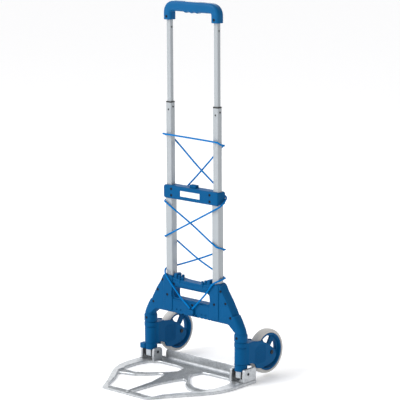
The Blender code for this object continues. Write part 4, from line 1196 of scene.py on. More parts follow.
@dataclass
class Connector:
    """The moulded block that ties the lower tubes and guides the middle ones."""

    corner: float = 0.0065
    rim: float = 0.0040
    label_width: float = 0.071
    label_height: float = 0.0155

    def build(self, shop: Workshop) -> None:
        """Make both covers, the blank label and the release button.

        Args:
            shop: Materials and bodies.
        """
        for word, side in (("front", -1), ("back", 1)):
            low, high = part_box(f"connector_{word}_shell")
            middle = (low + high) / 2
            bm = bmesh.new()
            outline = box_outline(high.x - low.x, high.z - low.z, self.corner, (0, middle.z), 8)
            soft = (self.rim, 0.0003) if side < 0 else (0.0003, self.rim)
            slab(bm, outline, low.y, high.y, Axis.Y, *soft)
            cover = piece_from(f"connector_{word}_cover", bm, shop.paint["frame"])
            self.open_up(cover, low.z, high.z)
            if side < 0:
                self.sink_screws(cover)
            shop.settle(cover, "base", (f"connector_{word}_shell",))
        self.label(shop)
        self.button(shop)
        shop.dress("release_spring", "steel")

    def open_up(self, cover: bpy.types.Object, bottom: float, top: float) -> None:
        """Cut the tube passages and the button's well.

        Args:
            cover: The cover that is cut.
            bottom: Its lower face.
            top: Its upper face.
        """
        passages = bmesh.new()
        for hand in Side:
            low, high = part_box(f"lower_tube_{hand.word}")
            centre = ((low.x + high.x) / 2, 0)
            outline = box_outline(high.x - low.x + 0.0006, high.y - low.y + 0.0006, 0.003, centre)
            slab(passages, outline, bottom - 0.01, high.z + 0.0003, Axis.Z)
        carve(cover, passages)
        passages = bmesh.new()
        for hand in Side:
            low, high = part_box(f"middle_tube_{hand.word}")
            centre = ((low.x + high.x) / 2, 0)
            outline = box_outline(high.x - low.x + 0.001, high.y - low.y + 0.001, 0.0025, centre)
            slab(passages, outline, top - 0.008, top + 0.01, Axis.Z)
        carve(cover, passages)
        low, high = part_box("release_button")
        well = bmesh.new()
        outline = box_outline(high.x - low.x + 0.001, high.y - low.y + 0.001, 0.003)
        slab(well, outline, low.z - 0.009, top + 0.01, Axis.Z)
        carve(cover, well)

    def sink_screws(self, cover: bpy.types.Object) -> None:
        """Cut the round recess around each screw head."""
        holes = bmesh.new()
        for hand in Side:
            for level in ("lower", "upper"):
                sink(holes, f"connector_screw_{hand.word}_{level}", 0.0014)
        carve(cover, holes)

    def label(self, shop: Workshop) -> None:
        """Stick the blank label on the front cover."""
        low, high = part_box("connector_front_shell")
        middle = (low + high) / 2
        bm = bmesh.new()
        outline = box_outline(self.label_width, self.label_height, 0.0008, (-0.001, middle.z))
        slab(bm, outline, low.y - 0.0003, low.y + 0.0006, Axis.Y, 0.0002, 0)
        shop.settle(piece_from("blank_label", bm, shop.paint["label"]), "base")

    def button(self, shop: Workshop) -> None:
        """Make the release button with two grip ridges on top."""
        low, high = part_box("release_button")
        bm = bmesh.new()
        outline = box_outline(high.x - low.x, high.y - low.y, 0.0030)
        slab(bm, outline, low.z, high.z - 0.0006, Axis.Z, 0, 0.0018)
        for shift in (-0.005, 0, 0.005):
            ridge = box_outline(0.0016, high.y - low.y - 0.004, 0.0006, (shift, 0), 3)
            slab(bm, ridge, high.z - 0.002, high.z, Axis.Z, 0, 0.0005, 2)
        button = piece_from("release_cap", bm, shop.paint["frame"])
        shop.settle(button, "release_push_button", ("release_button",))


# ---- base ---------------------------------------------------------------------------


@dataclass
class Base:
    """The moulded base: two half covers, tube pilasters, necks, rail lugs and clip."""

    panel_depth: float = 0.0155
    pilaster_depth: float = 0.018
    post_x: float = POST_X
    tube_x: float = 0.0855
    arch: float = 0.161
    slot: tuple[float, float, float] = (0.067, 0.204, 0.234)
    neck_radius: float = 0.0185

    def outline(self) -> Outline:
        """Front view of the panel: a flared trapezium over an arch."""
        right = [
            (0, 0.2560, 0), (0.030, 0.2565, 0.080), (0.070, 0.2610, 0.012), (0.0979, 0.2680, 0.006),
            (0.1061, 0.2620, 0.005), (0.1136, 0.2470, 0.014), (0.1300, 0.2240, 0.090),
            (0.1457, 0.1970, 0.120), (0.1600, 0.1660, 0.050), (0.1710, 0.1430, 0), (0.1560, 0.1430, 0),
            (0.1350, self.arch, 0.012), (0, self.arch, 0),
        ]
        return mirrored(round_corners(right, 6))

    def cover(self, shop: Workshop, word: str, side: int) -> None:
        """Make one half of the base.

        Args:
            shop: Materials and bodies.
            word: front or back.
            side: Sign of y.
        """
        bm = bmesh.new()
        self.slab_out(bm, self.outline(), side, self.panel_depth, 0.0026)
        cover = piece_from(f"base_{word}_cover", bm, shop.paint["frame"])
        for hand in Side:
            bm = bmesh.new()
            pilaster = box_outline(0.033, 0.265 - 0.166, 0.006, (hand.value * self.tube_x, 0.2155), 6)
            self.slab_out(bm, pilaster, side, self.pilaster_depth, 0.0022)
            carve(cover, bm, "UNION")
        for hand in Side:
            bm = bmesh.new()
            self.leg(bm, hand)
            half = bmesh.new()
            reach = (-0.1, -SPLIT_GAP) if side < 0 else (SPLIT_GAP, 0.1)
            slab(half, box_outline(1.0, 1.0, 0.1), *reach, Axis.Y)
            foot = piece_from("leg_tool", bm, shop.paint["frame"])
            carve(foot, half, "INTERSECT")
            shaped = bmesh.new()
            shaped.from_mesh(foot.data)
            bpy.data.objects.remove(foot, do_unlink=True)
            carve(cover, shaped, "UNION")
        self.rail(cover, side)
        tool = bmesh.new()
        half_width, low, high = self.slot
        corners = [
            (-half_width, low, 0.007), (half_width, low, 0.007), (half_width, high, 0.014),
            (-half_width, high, 0.014),
        ]
        window = round_corners(corners, 8)
        rings = [(grown(window, 0.0042), -0.04), (grown(window, 0.0042), -self.panel_depth - 0.0002)]
        for step in range(1, 5):
            angle = math.pi / 2 * step / 4
            level = -self.panel_depth - 0.0002 + 0.0042 * math.sin(angle)
            rings.append((grown(window, 0.0042 * math.cos(angle)), level))
        rings.append((window, 0.01))
        if side > 0:
            rings = [(outline, -level) for outline, level in reversed(rings)]
        loft(tool, rings, Axis.Y)
        carve(cover, tool)
        tool = bmesh.new()
        for hand in Side:
            low_corner, high_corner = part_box(f"lower_tube_{hand.word}")
            centre = ((low_corner.x + high_corner.x) / 2, 0)
            wide = high_corner.x - low_corner.x + 0.0006
            deep = high_corner.y - low_corner.y + 0.0006
            slab(tool, box_outline(wide, deep, 0.003, centre), low_corner.z - 0.0003, 0.30, Axis.Z)
        carve(cover, tool)
        self.recesses(cover, side)
        shop.settle(cover, "base", (f"base_{word}_shell",))

    def leg(self, bm: bmesh.types.BMesh, hand: Side) -> None:
        """Loft the foot of a leg from the flat panel to the round neck."""
        rings = []
        for z, centre, wide, deep, square in (
            (0.1385, 0.1680, 0.0162, 0.0160, 1.00), (0.1440, 0.1672, 0.0163, 0.0160, 0.96),
            (0.1520, 0.1638, 0.0160, 0.0158, 0.86), (0.1620, 0.1580, 0.0158, 0.0156, 0.72),
            (0.1740, 0.1510, 0.0150, 0.0155, 0.56), (0.1860, 0.1440, 0.0130, 0.0154, 0.45),
        ):
            ring = []
            for step in range(40):
                angle = 2 * math.pi * step / 40
                across = math.copysign(abs(math.cos(angle)) ** square, math.cos(angle)) * wide
                along = math.copysign(abs(math.sin(angle)) ** square, math.sin(angle)) * deep
                ring.append((hand.value * (centre + across), along))
            rings.append((ring, z))
        loft(bm, rings, Axis.Z)

    def slab_out(self, bm: bmesh.types.BMesh, outline: Outline, side: int, depth: float, rim: float) -> None:
        """Add a slab from the split plane out to a depth, its outer rim rounded."""
        if side < 0:
            slab(bm, outline, -depth, -SPLIT_GAP, Axis.Y, rim, 0)
        else:
            slab(bm, outline, SPLIT_GAP, depth, Axis.Y, 0, rim)

    def rail(self, cover: bpy.types.Object, side: int) -> None:
        """Join the raised rail above the slot and the ledge below it.

        Args:
            cover: The cover that is built up.
            side: Sign of y.
        """
        bm = bmesh.new()
        right = [
            (0, 0.2500, 0), (0.040, 0.2510, 0.05), (0.066, 0.2550, 0), (0.066, 0.2450, 0),
            (0.040, 0.2410, 0.05), (0, 0.2400, 0),
        ]
        self.slab_out(bm, mirrored(round_corners(right, 5)), side, self.panel_depth + 0.0016, 0.0012)
        carve(cover, bm, "UNION")
        bm = bmesh.new()
        strip = box_outline(0.132, 0.005, 0.002, (0, 0.1995), 4)
        self.slab_out(bm, strip, side, self.panel_depth + 0.0008, 0.0007)
        carve(cover, bm, "UNION")

    def recesses(self, cover: bpy.types.Object, side: int) -> None:
        """Cut the screw recesses and the small pockets along the lower edge.

        Args:
            cover: The cover that is cut.
            side: Sign of y.
        """
        tool = bmesh.new()
        if side < 0:
            for node in screw_nodes():
                if "neck" not in node:
                    sink(tool, node, 0.0014)
        for x in (-0.052, -0.038, 0.040, 0.054):
            pocket = box_outline(0.007, 0.0045, 0.001, (x, 0.1725), 3)
            front = sorted((side * 0.03, side * (self.panel_depth - 0.0015)))
            slab(tool, pocket, front[0], front[1], Axis.Y)
        for x in (-0.064, -0.030, 0.030, 0.0435, 0.057, 0.0705):
            notch = box_outline(0.0060, 0.0070, 0.0008, (x, self.arch - 0.0005), 3)
            slab(tool, notch, -0.03, 0.03, Axis.Y)
        carve(cover, tool)

    def neck(self, shop: Workshop, hand: Side) -> None:
        """Turn the round collar that stands on a wheel post.

        Args:
            shop: Materials and bodies.
            hand: Which side.
        """
        r = self.neck_radius
        profile = softened(
            [
                (0.0083, 0.116, 0), (r - 0.0012, 0.116, 0.0008), (r - 0.0012, 0.1185, 0.0004),
                (r, 0.1195, 0.0006), (r, 0.1355, 0.0012), (r - 0.0010, 0.1372, 0.0008),
                (r - 0.0010, 0.1390, 0.0008), (0.0083, 0.1390, 0),
            ]
        )
        bm = bmesh.new()
        turned(bm, profile, (hand.value * self.post_x, 0, 0), Axis.Z, 72)
        sleeve = piece_from(f"neck_sleeve_{hand.word}", bm, shop.paint["frame"])
        tool = bmesh.new()
        sink(tool, f"base_screw_neck_{hand.word}", 0.0022)
        carve(sleeve, tool)
        shop.settle(sleeve, "base")

    def lug(self, shop: Workshop, hand: Side) -> None:
        """Make the small cord hook on top of the rail, beside a tube.

        Args:
            shop: Materials and bodies.
            hand: Which side.
        """
        sign = hand.value
        bm = bmesh.new()
        block = box_outline(0.012, 0.021, 0.003, (sign * 0.0610, -0.0020))
        slab(bm, block, 0.2520, 0.2725, Axis.Z, 0, 0.0025)
        for x, y, radius, top in (
            (0.0480, -0.0080, 0.0042, 0.2690), (0.0480, 0.0060, 0.0042, 0.2680),
            (0.0370, -0.0085, 0.0036, 0.2655), (0.0425, -0.0150, 0.0030, 0.2620),
        ):
            profile = softened([(0, 0.2480, 0), (radius, 0.2480, 0), (radius, top, 0.0016), (0, top, 0)], 3)
            turned(bm, profile, (sign * x, y, 0), Axis.Z, 24)
        bridge = box_outline(0.018, 0.0040, 0.0015, (sign * 0.0470, -0.0075))
        slab(bm, bridge, 0.2520, 0.2630, Axis.Z, 0, 0.0012, 3)
        hook = piece_from(f"rail_hook_{hand.word}", bm, shop.paint["frame"])
        shop.settle(hook, "base")

    def clip(self, shop: Workshop) -> None:
        """Make the clip at the foot of the base that holds both ends of the cord."""
        bm = bmesh.new()
        slab(bm, box_outline(0.020, 0.012, 0.003, (0.004, 0.1755)), -0.0225, -0.0140, Axis.Y, 0.0015, 0)
        for shift in (-0.0055, 0.0055):
            outline = box_outline(0.0028, 0.0052, 0.0012, (0.013 + shift, 0.1665), 3)
            slab(bm, outline, -0.0215, -0.0140, Axis.Y, 0.0008, 0, 2)
        shop.settle(piece_from("cord_clip", bm, shop.paint["frame"]), "base")

    def build(self, shop: Workshop) -> None:
        """Make the whole base.

        Args:
            shop: Materials and bodies.
        """
        self.cover(shop, "front", -1)
        self.cover(shop, "back", 1)
        for hand in Side:
            self.neck(shop, hand)
            self.lug(shop, hand)
        self.clip(shop)


def screw_nodes() -> list[str]:
    """Names of the base's CAD screws."""
    places = ("upper", "middle", "lower", "socket", "rail", "neck")
    names = [f"base_screw_{place}_{hand.word}" for place in places for hand in Side]
    return [*names, "base_screw_centre"]


# ---- posts --------------------------------------------------------------------------


@dataclass
class Posts:
    """The steel posts, with foot blocks, liners and hinge pins."""

    post_x: float = POST_X
    radius: float = BARREL_RADIUS

    def build(self, shop: Workshop) -> None:
        """Dress the posts and pins and make the foot blocks.

        Args:
            shop: Materials and bodies.
        """
        for hand in Side:
            shop.dress(f"hinge_post_{hand.word}", "steel")
            shop.dress(f"hinge_pin_{hand.word}", "screw")
            self.foot(shop, hand)
            self.liner(shop, hand)

    def foot(self, shop: Workshop, hand: Side) -> None:
        """Make the moulded foot below a fork, with the catch lug on the left one.

        Args:
            shop: Materials and bodies.
            hand: Which side.
        """
        low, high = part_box(f"foot_block_{hand.word}")
        r = self.radius
        profile = softened(
            [
                (0.0083, low.z, 0), (r - 0.0003, low.z, 0.0012), (r, low.z + 0.010, 0.002),
                (r, high.z - 0.0035, 0.0006), (r + 0.0008, high.z - 0.0028, 0.0004),
                (r + 0.0008, high.z, 0.0006), (0.0083, high.z, 0),
            ]
        )
        bm = bmesh.new()
        x = hand.value * self.post_x
        turned(bm, profile, (x, 0, 0), Axis.Z, 64)
        foot = piece_from(f"foot_ring_{hand.word}", bm, shop.paint["frame"])
        if hand is Side.LEFT:
            lug = bmesh.new()
            outline = box_outline(0.020, 0.018, 0.004, (x - 0.0165, -0.0110))
            slab(lug, outline, low.z + 0.0015, high.z - 0.0020, Axis.Z, 0.0020, 0.0020)
            carve(foot, lug, "UNION")
        shop.settle(foot, "base", (f"foot_block_{hand.word}",))

    def liner(self, shop: Workshop, hand: Side) -> None:
        """Make the black pad that the hinge block stands in.

        Args:
            shop: Materials and bodies.
            hand: Which side.
        """
        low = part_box(f"hinge_post_{hand.word}")[0]
        x = hand.value * self.post_x
        bm = bmesh.new()
        for sign in (-1, 1):
            outline = box_outline(0.0022, 0.0235, 0.0006, (x + sign * 0.0116, 0.0), 2)
            slab(bm, outline, low.z - 0.0015, 0.0355, Axis.Z, 0.0004, 0.0004, 2)
        slab(bm, box_outline(0.0235, 0.0235, 0.001, (x, 0), 2), low.z - 0.0022, low.z - 0.0003, Axis.Z)
        pad = piece_from(f"hinge_pad_{hand.word}", bm, shop.paint["black_part"])
        shop.settle(pad, "base")


# ---- wheels -------------------------------------------------------------------------


@dataclass
class SwivelWheel:
    """One fork with its wheel."""

    hand: Side
    post_x: float = POST_X
    barrel: float = BARREL_RADIUS
    barrel_foot: float = 0.0552
    axle_reach: float = 0.103
    cheek_inner: float = 0.0165
    cheek_outer: float = 0.0215
    dot_pitch: float = 0.0034
    spokes: int = 5

    @property
    def x(self) -> float:
        """Where the swivel axis stands."""
        return self.hand.value * self.post_x

    def cheek_outline(self, bottom: float, top: float, axle: float) -> Outline:
        """Side view of a cheek in (y, z).

        Args:
            bottom: Lowest level of the barrel.
            top: Highest level of the barrel.
            axle: Height of the axle.

        Returns:
            The outline.
        """
        reach = self.axle_reach
        corners = [
            (0.000, top, 0), (reach - 0.073, top, 0.012), (reach - 0.043, top - 0.005, 0.040),
            (reach - 0.015, axle + 0.0275, 0.040), (reach + 0.009, axle + 0.0100, 0.030),
            (reach + 0.025, axle - 0.0120, 0.012), (reach + 0.010, axle - 0.0270, 0.022),
            (reach - 0.013, axle - 0.0335, 0.040), (reach - 0.043, axle - 0.0375, 0.025),
            (reach - 0.0610, axle - 0.0330, 0.006), (reach - 0.0665, bottom - 0.0060, 0.004),
            (reach - 0.081, bottom, 0.004), (0.000, bottom, 0),
        ]
        return round_corners(corners, 7)

    def fork(self, shop: Workshop) -> None:
        """Make the barrel, the bridge and both cheeks.

        Args:
            shop: Materials and bodies.
        """
        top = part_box(f"fork_{self.hand.word}")[1].z
        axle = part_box(f"axle_bolt_{self.hand.word}")
        axle_z = (axle[0].z + axle[1].z) / 2
        bottom, r = self.barrel_foot, self.barrel
        grooves = softened(
            [
                (0.0085, bottom, 0), (r, bottom, 0.0008), (r, 0.1000, 0.0006), (r - 0.0014, 0.1010, 0.0005),
                (r - 0.0014, 0.1024, 0.0005), (r + 0.0009, 0.1034, 0.0006),
                (r + 0.0009, top - 0.0018, 0.0012), (r - 0.0010, top, 0.0006), (0.0085, top, 0),
            ],
            3,
        )
        outline = self.cheek_outline(bottom, top - 0.0006, axle_z)
        bm = bmesh.new()
        slab(bm, outline, self.x + self.cheek_inner, self.x + self.cheek_outer, Axis.X, 0.0008, 0.0022)
        fork = piece_from(f"fork_body_{self.hand.word}", bm, shop.paint["frame"])
        bm = bmesh.new()
        slab(bm, outline, self.x - self.cheek_outer, self.x - self.cheek_inner, Axis.X, 0.0022, 0.0008)
        carve(fork, bm, "UNION")
        bm = bmesh.new()
        span = 2 * self.cheek_inner + 0.002
        slab(bm, box_outline(span, 0.0360, 0.0005, (self.x, 0.0195)), bottom + 0.0012, top - 0.0018, Axis.Z)
        carve(fork, bm, "UNION")
        self.trim_front(fork)
        bm = bmesh.new()
        solid = [(0, bottom), *[point for point in grooves if point[0] > 0.0086], (0, top)]
        turned(bm, solid, (self.x, 0, 0), Axis.Z, 72)
        carve(fork, bm, "UNION")
        carve(fork, one_slab(disc_outline(0.0085, (self.x, 0), 40), 0, 0.2, Axis.Z))
        shop.settle(fork, f"fork_{self.hand.word}", (f"fork_{self.hand.word}",))
        self.dots(shop, axle_z)

    def trim_front(self, fork: bpy.types.Object) -> None:
        """Cut the cheeks and the bridge back to the barrel in front of the post."""
        carve(fork, one_slab(box_outline(0.06, 0.05, 0.001, (self.x, -0.025)), 0, 0.2, Axis.Z))
        for sign in (-1, 1):
            tool = bmesh.new()
            edge = [
                (self.x + sign * 0.0172, -0.002), (self.x + sign * 0.0240, -0.002),
                (self.x + sign * 0.0240, 0.0105), (self.x + sign * 0.0216, 0.0085),
                (self.x + sign * 0.0186, 0.0040),
            ]
            slab(tool, edge, 0, 0.2, Axis.Z)
            carve(fork, tool)

    def dots(self, shop: Workshop, axle_z: float) -> None:
        """Raise the field of small pips moulded on each cheek.

        Args:
            shop: Materials and bodies.
            axle_z: Height of the axle.
        """
        bm = bmesh.new()
        half = 0.42 * self.dot_pitch
        for sign in (-1, 1):
            skin = self.x + sign * self.cheek_outer
            for column in range(14):
                for row in range(16):
                    y = 0.0335 + column * self.dot_pitch
                    z = axle_z - 0.020 + row * self.dot_pitch
                    centre = Vector((0.059, axle_z + 0.0035))
                    offset = Vector((y, z)) - centre
                    if (offset.x / 0.024) ** 4 + (offset.y / 0.026) ** 4 > 1:
                        continue
                    self.pip(bm, skin, sign, y, z, half)
        field_piece = piece_from(f"cheek_pips_{self.hand.word}", bm, shop.paint["frame"], 20)
        shop.settle(field_piece, f"fork_{self.hand.word}")

    def pip(self, bm: bmesh.types.BMesh, skin: float, sign: int, y: float, z: float, half: float) -> None:
        """Add one small pyramid, its foot sunk in the cheek."""
        foot = skin - sign * 0.0003
        corners = ((-1, -1.5), (1, -1.5), (1, 1.5), (-1, 1.5))
        base = [bm.verts.new((foot, y + a * half * 0.62, z + b * half * 0.62)) for a, b in corners]
        crown = skin + sign * 0.0006
        tip = [bm.verts.new((crown, y + a * half * 0.22, z + b * half * 0.4)) for a, b in corners]
        for i in range(4):
            j = (i + 1) % 4
            bm.faces.new((base[i], base[j], tip[j], tip[i]))
        bm.faces.new(base)
        bm.faces.new(tip)

    def rim(self, shop: Workshop, axle_y: float, axle_z: float) -> None:
        """Turn the rim and cut the openings between its spokes.

        Args:
            shop: Materials and bodies.
            axle_y: Where the axle is, along y.
            axle_z: Height of the axle.
        """
        radius = 0.0516
        profile = softened(
            [
                (0.0045, -0.014, 0), (0.012, -0.014, 0.0012), (0.0128, -0.0045, 0.002),
                (0.0185, -0.0030, 0.002), (radius - 0.0068, -0.0030, 0.003),
                (radius - 0.0048, -0.0122, 0.0008), (radius, -0.0128, 0.0008), (radius, 0.0128, 0.0008),
                (radius - 0.0048, 0.0122, 0.0008), (radius - 0.0068, 0.0030, 0.003),
                (0.0185, 0.0030, 0.002), (0.0128, 0.0045, 0.002), (0.012, 0.014, 0.0012),
                (0.0045, 0.014, 0),
            ],
            3,
        )
        centre = (self.x, axle_y, axle_z)
        bm = bmesh.new()
        turned(bm, profile, centre, Axis.X, 96)
        rim = piece_from(f"spoked_rim_{self.hand.word}", bm, shop.paint["frame"])
        tool = bmesh.new()
        for spoke in range(self.spokes):
            slab(tool, self.window(spoke, axle_y, axle_z), self.x - 0.008, self.x + 0.008, Axis.X)
        carve(rim, tool)
        body = f"wheel_{self.hand.word}"
        shop.settle(rim, body, (f"wheel_rim_{self.hand.word}",))

    def window(self, spoke: int, axle_y: float, axle_z: float) -> Outline:
        """Outline of one opening between two spokes, in (y, z)."""
        middle = 2 * math.pi * spoke / self.spokes + math.pi / 2
        corners = []
        for radius, spreads in ((0.0425, (0.44, 0.15, -0.15, -0.44)), (0.0180, (-0.26, 0.26))):
            for spread in spreads:
                angle = middle + spread
                spot = (axle_y + radius * math.cos(angle), axle_z + radius * math.sin(angle))
                corners.append((spot[0], spot[1], 0.0028))
        return round_corners(corners, 4)

    def tyre(self, shop: Workshop, axle_y: float, axle_z: float) -> None:
        """Turn the round-shouldered tyre.

        Args:
            shop: Materials and bodies.
            axle_y: Where the axle is, along y.
            axle_z: Height of the axle.
        """
        radius, inner, half = 0.0620, 0.0519, 0.014
        profile: list[Point] = [(inner, -half + 0.0030), (inner + 0.0015, -half + 0.0008)]
        for step in range(21):
            angle = math.radians(-80 + 8 * step)
            swell = abs(math.sin(angle)) ** 0.9 * (1 if angle > 0 else -1)
            profile.append((radius - 0.0080 + 0.0080 * math.cos(angle) ** 0.8, half * swell))
        profile += [(inner + 0.0015, half - 0.0008), (inner, half - 0.0030)]
        bm = bmesh.new()
        turned(bm, profile, (self.x, axle_y, axle_z), Axis.X, 128)
        tyre = piece_from(f"rubber_tyre_{self.hand.word}", bm, shop.paint["tyre"])
        shop.settle(tyre, f"wheel_{self.hand.word}", (f"tyre_{self.hand.word}",))

    def axle(self, shop: Workshop) -> None:
        """Make the hexagon-headed axle bolt in one piece.

        Args:
            shop: Materials and bodies.
        """
        node = f"axle_bolt_{self.hand.word}"
        low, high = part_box(node)
        middle = (low + high) / 2
        centre = (middle.y, middle.z)
        bm = bmesh.new()
        slab(bm, disc_outline(0.0040, centre, 32), low.x + 0.001, high.x - 0.001, Axis.X)
        bolt = piece_from(f"hex_axle_{self.hand.word}", bm, shop.paint["screw"])
        ends = ((low.x, low.x + 0.0020, (0.0006, 0)), (high.x - 0.0020, high.x, (0, 0.0006)))
        for start, end, rims in ends:
            carve(bolt, one_slab(disc_outline(0.0062, centre, 6), start, end, Axis.X, *rims, 2), "UNION")
        shop.settle(bolt, f"fork_{self.hand.word}", (node,))

    def build(self, shop: Workshop) -> None:
        """Make the fork, the rim, the tyre and the axle.

        Args:
            shop: Materials and bodies.
        """
        low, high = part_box(f"axle_bolt_{self.hand.word}")
        middle = (low + high) / 2
        self.fork(shop)
        self.rim(shop, middle.y, middle.z)
        self.tyre(shop, middle.y, middle.z)
        self.axle(shop)


# ---- toe plate ----------------------------------------------------------------------


@dataclass
class ToePlate:
    """The cast toe plate: deck, beads, knurled strips, rear wall and hinge ears."""

    deck: float = 0.0046
    band_height: float = 0.0085
    bead_height: float = 0.0068
    bead_width: float = 0.0030
    half_width: float = 0.1975
    reach: float = 0.281
    wall_front: float = 0.0332
    wall_back: float = 0.0363
    wall_top: float = 0.032
    post_x: float = POST_X
    ear_inner: float = 0.0185
    ear_outer: float = 0.0265
    pin_z: float = 0.030
    knurl_pitch: float = 0.0040

    def spread(self, points: Sequence[tuple[float, float, float]]) -> list[tuple[float, float, float]]:
        """Turn x, given as a share of the half width, into metres."""
        return [(x * self.half_width, y, radius) for x, y, radius in points]

    def edge(self) -> Outline:
        """Plan view of the plate's edge."""
        right = [
            (0, -self.reach, 0), (0.420, -self.reach, 0.006), (0.535, -0.240, 0.030),
            (0.681, -0.201, 0.060), (0.846, -0.155, 0.060), (0.914, -0.132, 0.030), (0.970, -0.105, 0.040),
            (1.000, -0.070, 0.040), (1.000, 0.030, 0.008), (0.962, self.wall_back, 0.002),
            (0, self.wall_back, 0),
        ]
        return mirrored(round_corners(self.spread(right), 5))

    def tray(self) -> Outline:
        """Plan view of the recessed deck, inside the raised side bands."""
        right = [
            (0, 0.005 - self.reach, 0), (0.360, 0.005 - self.reach, 0.006), (0.405, -0.246, 0.020),
            (0.560, -0.196, 0.040), (0.715, -0.158, 0.020), (0.790, -0.146, 0.008), (0.805, -0.128, 0.008),
            (0.760, -0.100, 0.020), (0.760, -0.040, 0.010), (0.790, -0.0195, 0.006),
            (0.980, -0.0195, 0.004), (0.980, self.wall_front + 0.001, 0.004),
            (0, self.wall_front + 0.001, 0),
        ]
        return mirrored(round_corners(self.spread(right), 5))

    def openings(self) -> list[Outline]:
        """Plan view of the four openings."""
        rear = [
            (0.172, -0.010, 0.008), (0.304, -0.0045, 0.020), (0.658, -0.0045, 0.025),
            (0.795, -0.024, 0.018), (0.838, -0.060, 0.030), (0.830, -0.112, 0.012), (0.739, -0.124, 0.014),
            (0.557, -0.124, 0.025), (0.395, -0.105, 0.030), (0.202, -0.066, 0.030), (0.127, -0.044, 0.008),
        ]
        front = [
            (0.033, -0.258, 0.004), (0.056, -0.165, 0.030), (0.127, -0.112, 0.030), (0.182, -0.088, 0.008),
            (0.263, -0.092, 0.014), (0.380, -0.122, 0.030), (0.506, -0.142, 0.030), (0.740, -0.156, 0.004),
            (0.608, -0.190, 0.040), (0.488, -0.232, 0.030), (0.422, -0.260, 0.006),
        ]
        right = [round_corners(self.spread(rear), 6), round_corners(self.spread(front), 6)]
        return right + [[(-x, y) for x, y in outline] for outline in right]

    def build(self, shop: Workshop) -> None:
        """Make the casting and its knurled strips.

        Args:
            shop: Materials and bodies.
        """
        edge, openings = self.edge(), self.openings()
        bm = bmesh.new()
        slab(bm, edge, 0.0, self.band_height, Axis.Z, 0.0008, 0.0016, 3)
        plate = piece_from("cast_toe_plate", bm, shop.paint["cast_plate"])
        tray = bmesh.new()
        inner = self.tray()
        rings = [(inner, self.deck), (grown(inner, 0.0014), self.deck + 0.0040), (grown(inner, 0.0016), 0.05)]
        loft(tray, rings, Axis.Z)
        carve(plate, tray)
        for outline in openings:
            bead = bmesh.new()
            slab(bead, grown(outline, self.bead_width), 0.0010, self.bead_height, Axis.Z, 0, 0.0014, 3)
            carve(plate, bead, "UNION")
        for outline in openings:
            hole = bmesh.new()
            rings = [
                (grown(outline, 0.0006), -0.01), (grown(outline, 0.0004), 0.0), (outline, 0.0012),
                (outline, self.bead_height - 0.0014), (grown(outline, 0.0012), self.bead_height + 0.0003),
                (grown(outline, 0.0016), self.bead_height + 0.0020), (grown(outline, 0.0016), 0.03),
            ]
            loft(hole, rings, Axis.Z)
            carve(plate, hole)
        front = -self.reach
        nose = bmesh.new()
        slope = [
            (front - 0.05, 0.0034), (front, 0.0034), (front + 0.046, self.band_height),
            (front + 0.080, 0.04), (front - 0.05, 0.04),
        ]
        slab(nose, slope, -0.3, 0.3, Axis.X)
        carve(plate, nose)
        self.wall(plate)
        self.ears(plate)
        shop.settle(plate, "toe_plate", ("toe_plate",))
        self.knurl(shop, openings)
        self.boss(shop)

    def wall(self, plate: bpy.types.Object) -> None:
        """Join the rear wall, level along its top, with a fillet at its foot."""
        end = self.post_x - self.ear_outer + 0.001
        right = [
            (0, self.wall_top, 0), (end - 0.002, self.wall_top - 0.001, 0.005), (end, 0.0200, 0),
            (end, 0.0020, 0), (0, 0.0020, 0),
        ]
        bm = bmesh.new()
        outline = mirrored(round_corners(right, 6))
        slab(bm, outline, self.wall_front, self.wall_back - 0.0001, Axis.Y, 0.0009, 0.0009, 3)
        carve(plate, bm, "UNION")
        fillet = bmesh.new()
        hollow = [
            (self.wall_front + 0.0005, self.deck - 0.001), (self.wall_front - 0.0070, self.deck - 0.001),
            (self.wall_front - 0.0070, self.deck + 0.0002), (self.wall_front - 0.0035, self.deck + 0.0010),
            (self.wall_front - 0.0012, self.deck + 0.0032), (self.wall_front - 0.0002, self.deck + 0.0070),
            (self.wall_front + 0.0005, self.deck + 0.0070),
        ]
        slab(fillet, hollow, -end + 0.002, end - 0.002, Axis.X)
        carve(plate, fillet, "UNION")

    def ear_outline(self, back: float, top: float) -> Outline:
        """Side view of a rounded hinge ear, in (y, z)."""
        front = -0.0175
        corners = [
            (front, 0.002, 0), (back, 0.002, 0), (back, top, 0.008), (front + 0.002, top, 0.006),
            (front, self.pin_z - 0.004, 0.004),
        ]
        return round_corners(corners, 6)

    def ears(self, plate: bpy.types.Object) -> None:
        """Join the four hinge ears and bore them for the pins."""
        inner_ear = self.ear_outline(0.0180, 0.0413)
        outer_ear = self.ear_outline(self.wall_back - 0.0035, 0.0443)
        for hand in Side:
            x = hand.value * self.post_x
            for low, high in ((-self.ear_outer, -self.ear_inner), (self.ear_inner, self.ear_outer)):
                outline = outer_ear if (low + high) * hand.value > 0 else inner_ear
                carve(plate, one_slab(outline, x + low, x + high, Axis.X, 0.0013, 0.0013, 3), "UNION")
            carve(plate, one_slab(disc_outline(0.0043, (0, self.pin_z), 32), x - 0.03, x + 0.03, Axis.X))

    def boss(self, shop: Workshop) -> None:
        """Cast the small round boss on the front bar."""
        bm = bmesh.new()
        profile = softened([(0, 0.0020, 0), (0.0055, 0.0020, 0), (0.0050, 0.0062, 0.0012), (0, 0.0062, 0)], 3)
        turned(bm, profile, (0.0, -0.2680, 0.0), Axis.Z, 28)
        shop.settle(piece_from("front_bar_boss", bm, shop.paint["cast_plate"]), "toe_plate")

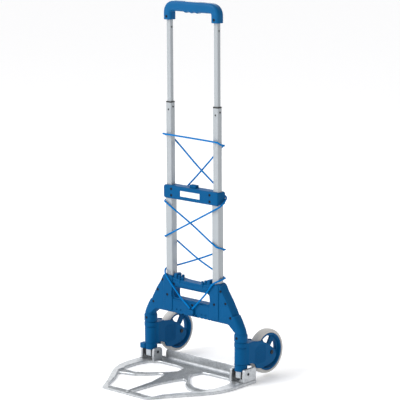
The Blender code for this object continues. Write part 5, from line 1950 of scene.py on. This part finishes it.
    def knurl(self, shop: Workshop, openings: Sequence[Outline]) -> None:
        """Cover the recessed deck with small cast diamonds.

        Args:
            shop: Materials and bodies.
            openings: The plate's openings.
        """
        field_edge = grown(self.tray(), -0.0022)
        keep_out = [grown(outline, self.bead_width + 0.0010) for outline in openings]
        bm = bmesh.new()
        pitch = self.knurl_pitch
        for row in range(int(0.34 / pitch * 2)):
            for column in range(int(0.42 / pitch)):
                x = -0.21 + (column + 0.5 * (row % 2)) * pitch
                y = -0.285 + row * pitch / 2
                if y > 0.0235 or not inside((x, y), field_edge):
                    continue
                if any(inside((x, y), hole) for hole in keep_out) or self.near_ear(x, y):
                    continue
                self.diamond(bm, x, y, pitch)
        # The diamonds take the knurl finish, whose darker tint is painted shade.
        strips = piece_from("knurled_strips", bm, shop.paint["knurl"], 10)
        shop.settle(strips, "toe_plate")

    def near_ear(self, x: float, y: float) -> bool:
        """Whether a diamond would touch a hinge ear or the space under a fork."""
        return abs(abs(x) - self.post_x) < self.ear_outer + 0.003 and y > -0.021

    def diamond(self, bm: bmesh.types.BMesh, x: float, y: float, pitch: float) -> None:
        """Add one diamond, its foot sunk in the deck."""
        half = pitch * 0.44
        nose = 0.0034 + 0.0051 * (y + self.reach) / 0.046
        deck = min(self.deck, nose)
        spots = ((-half, 0), (0, -half), (half, 0), (0, half))
        foot = [bm.verts.new((x + a, y + b, deck - 0.0004)) for a, b in spots]
        top = [bm.verts.new((x + a * 0.35, y + b * 0.35, deck + 0.0011)) for a, b in spots]
        for i in range(4):
            j = (i + 1) % 4
            bm.faces.new((foot[i], foot[j], top[j], top[i]))
        bm.faces.new(foot)
        bm.faces.new(top)


def inside(point: Point, outline: Outline) -> bool:
    """Whether a point lies inside a closed outline."""
    x, y = point
    found = False
    for i in range(len(outline)):
        (x1, y1), (x2, y2) = outline[i - 1], outline[i]
        if (y1 > y) != (y2 > y) and x < (x2 - x1) * (y - y1) / (y2 - y1) + x1:
            found = not found
    return found


# ---- the whole cart -----------------------------------------------------------------


def main() -> None:
    """Build the studio and every sub-assembly around the frame."""
    logging.basicConfig(level=logging.INFO, format="%(name)s: %(message)s")
    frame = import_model()
    shop = Workshop(frame)
    studio = Studio()
    studio.build_camera()
    ElasticCord().build(shop)
    studio.build_floor()
    studio.build_light()
    Grip().build(shop)
    Uprights().build(shop)
    Connector().build(shop)
    Base().build(shop)
    Posts().build(shop)
    for hand in Side:
        SwivelWheel(hand).build(shop)
    ToePlate().build(shop)
    screw = PanScrew()
    for node in screw_nodes():
        screw.place(shop, node, "base")
    for hand in Side:
        for level in ("lower", "upper"):
            screw.place(shop, f"connector_screw_{hand.word}_{level}", "base")
        screw.place(shop, f"grip_screw_{hand.word}", "upper_stage")


if __name__ == "__main__":
    main()
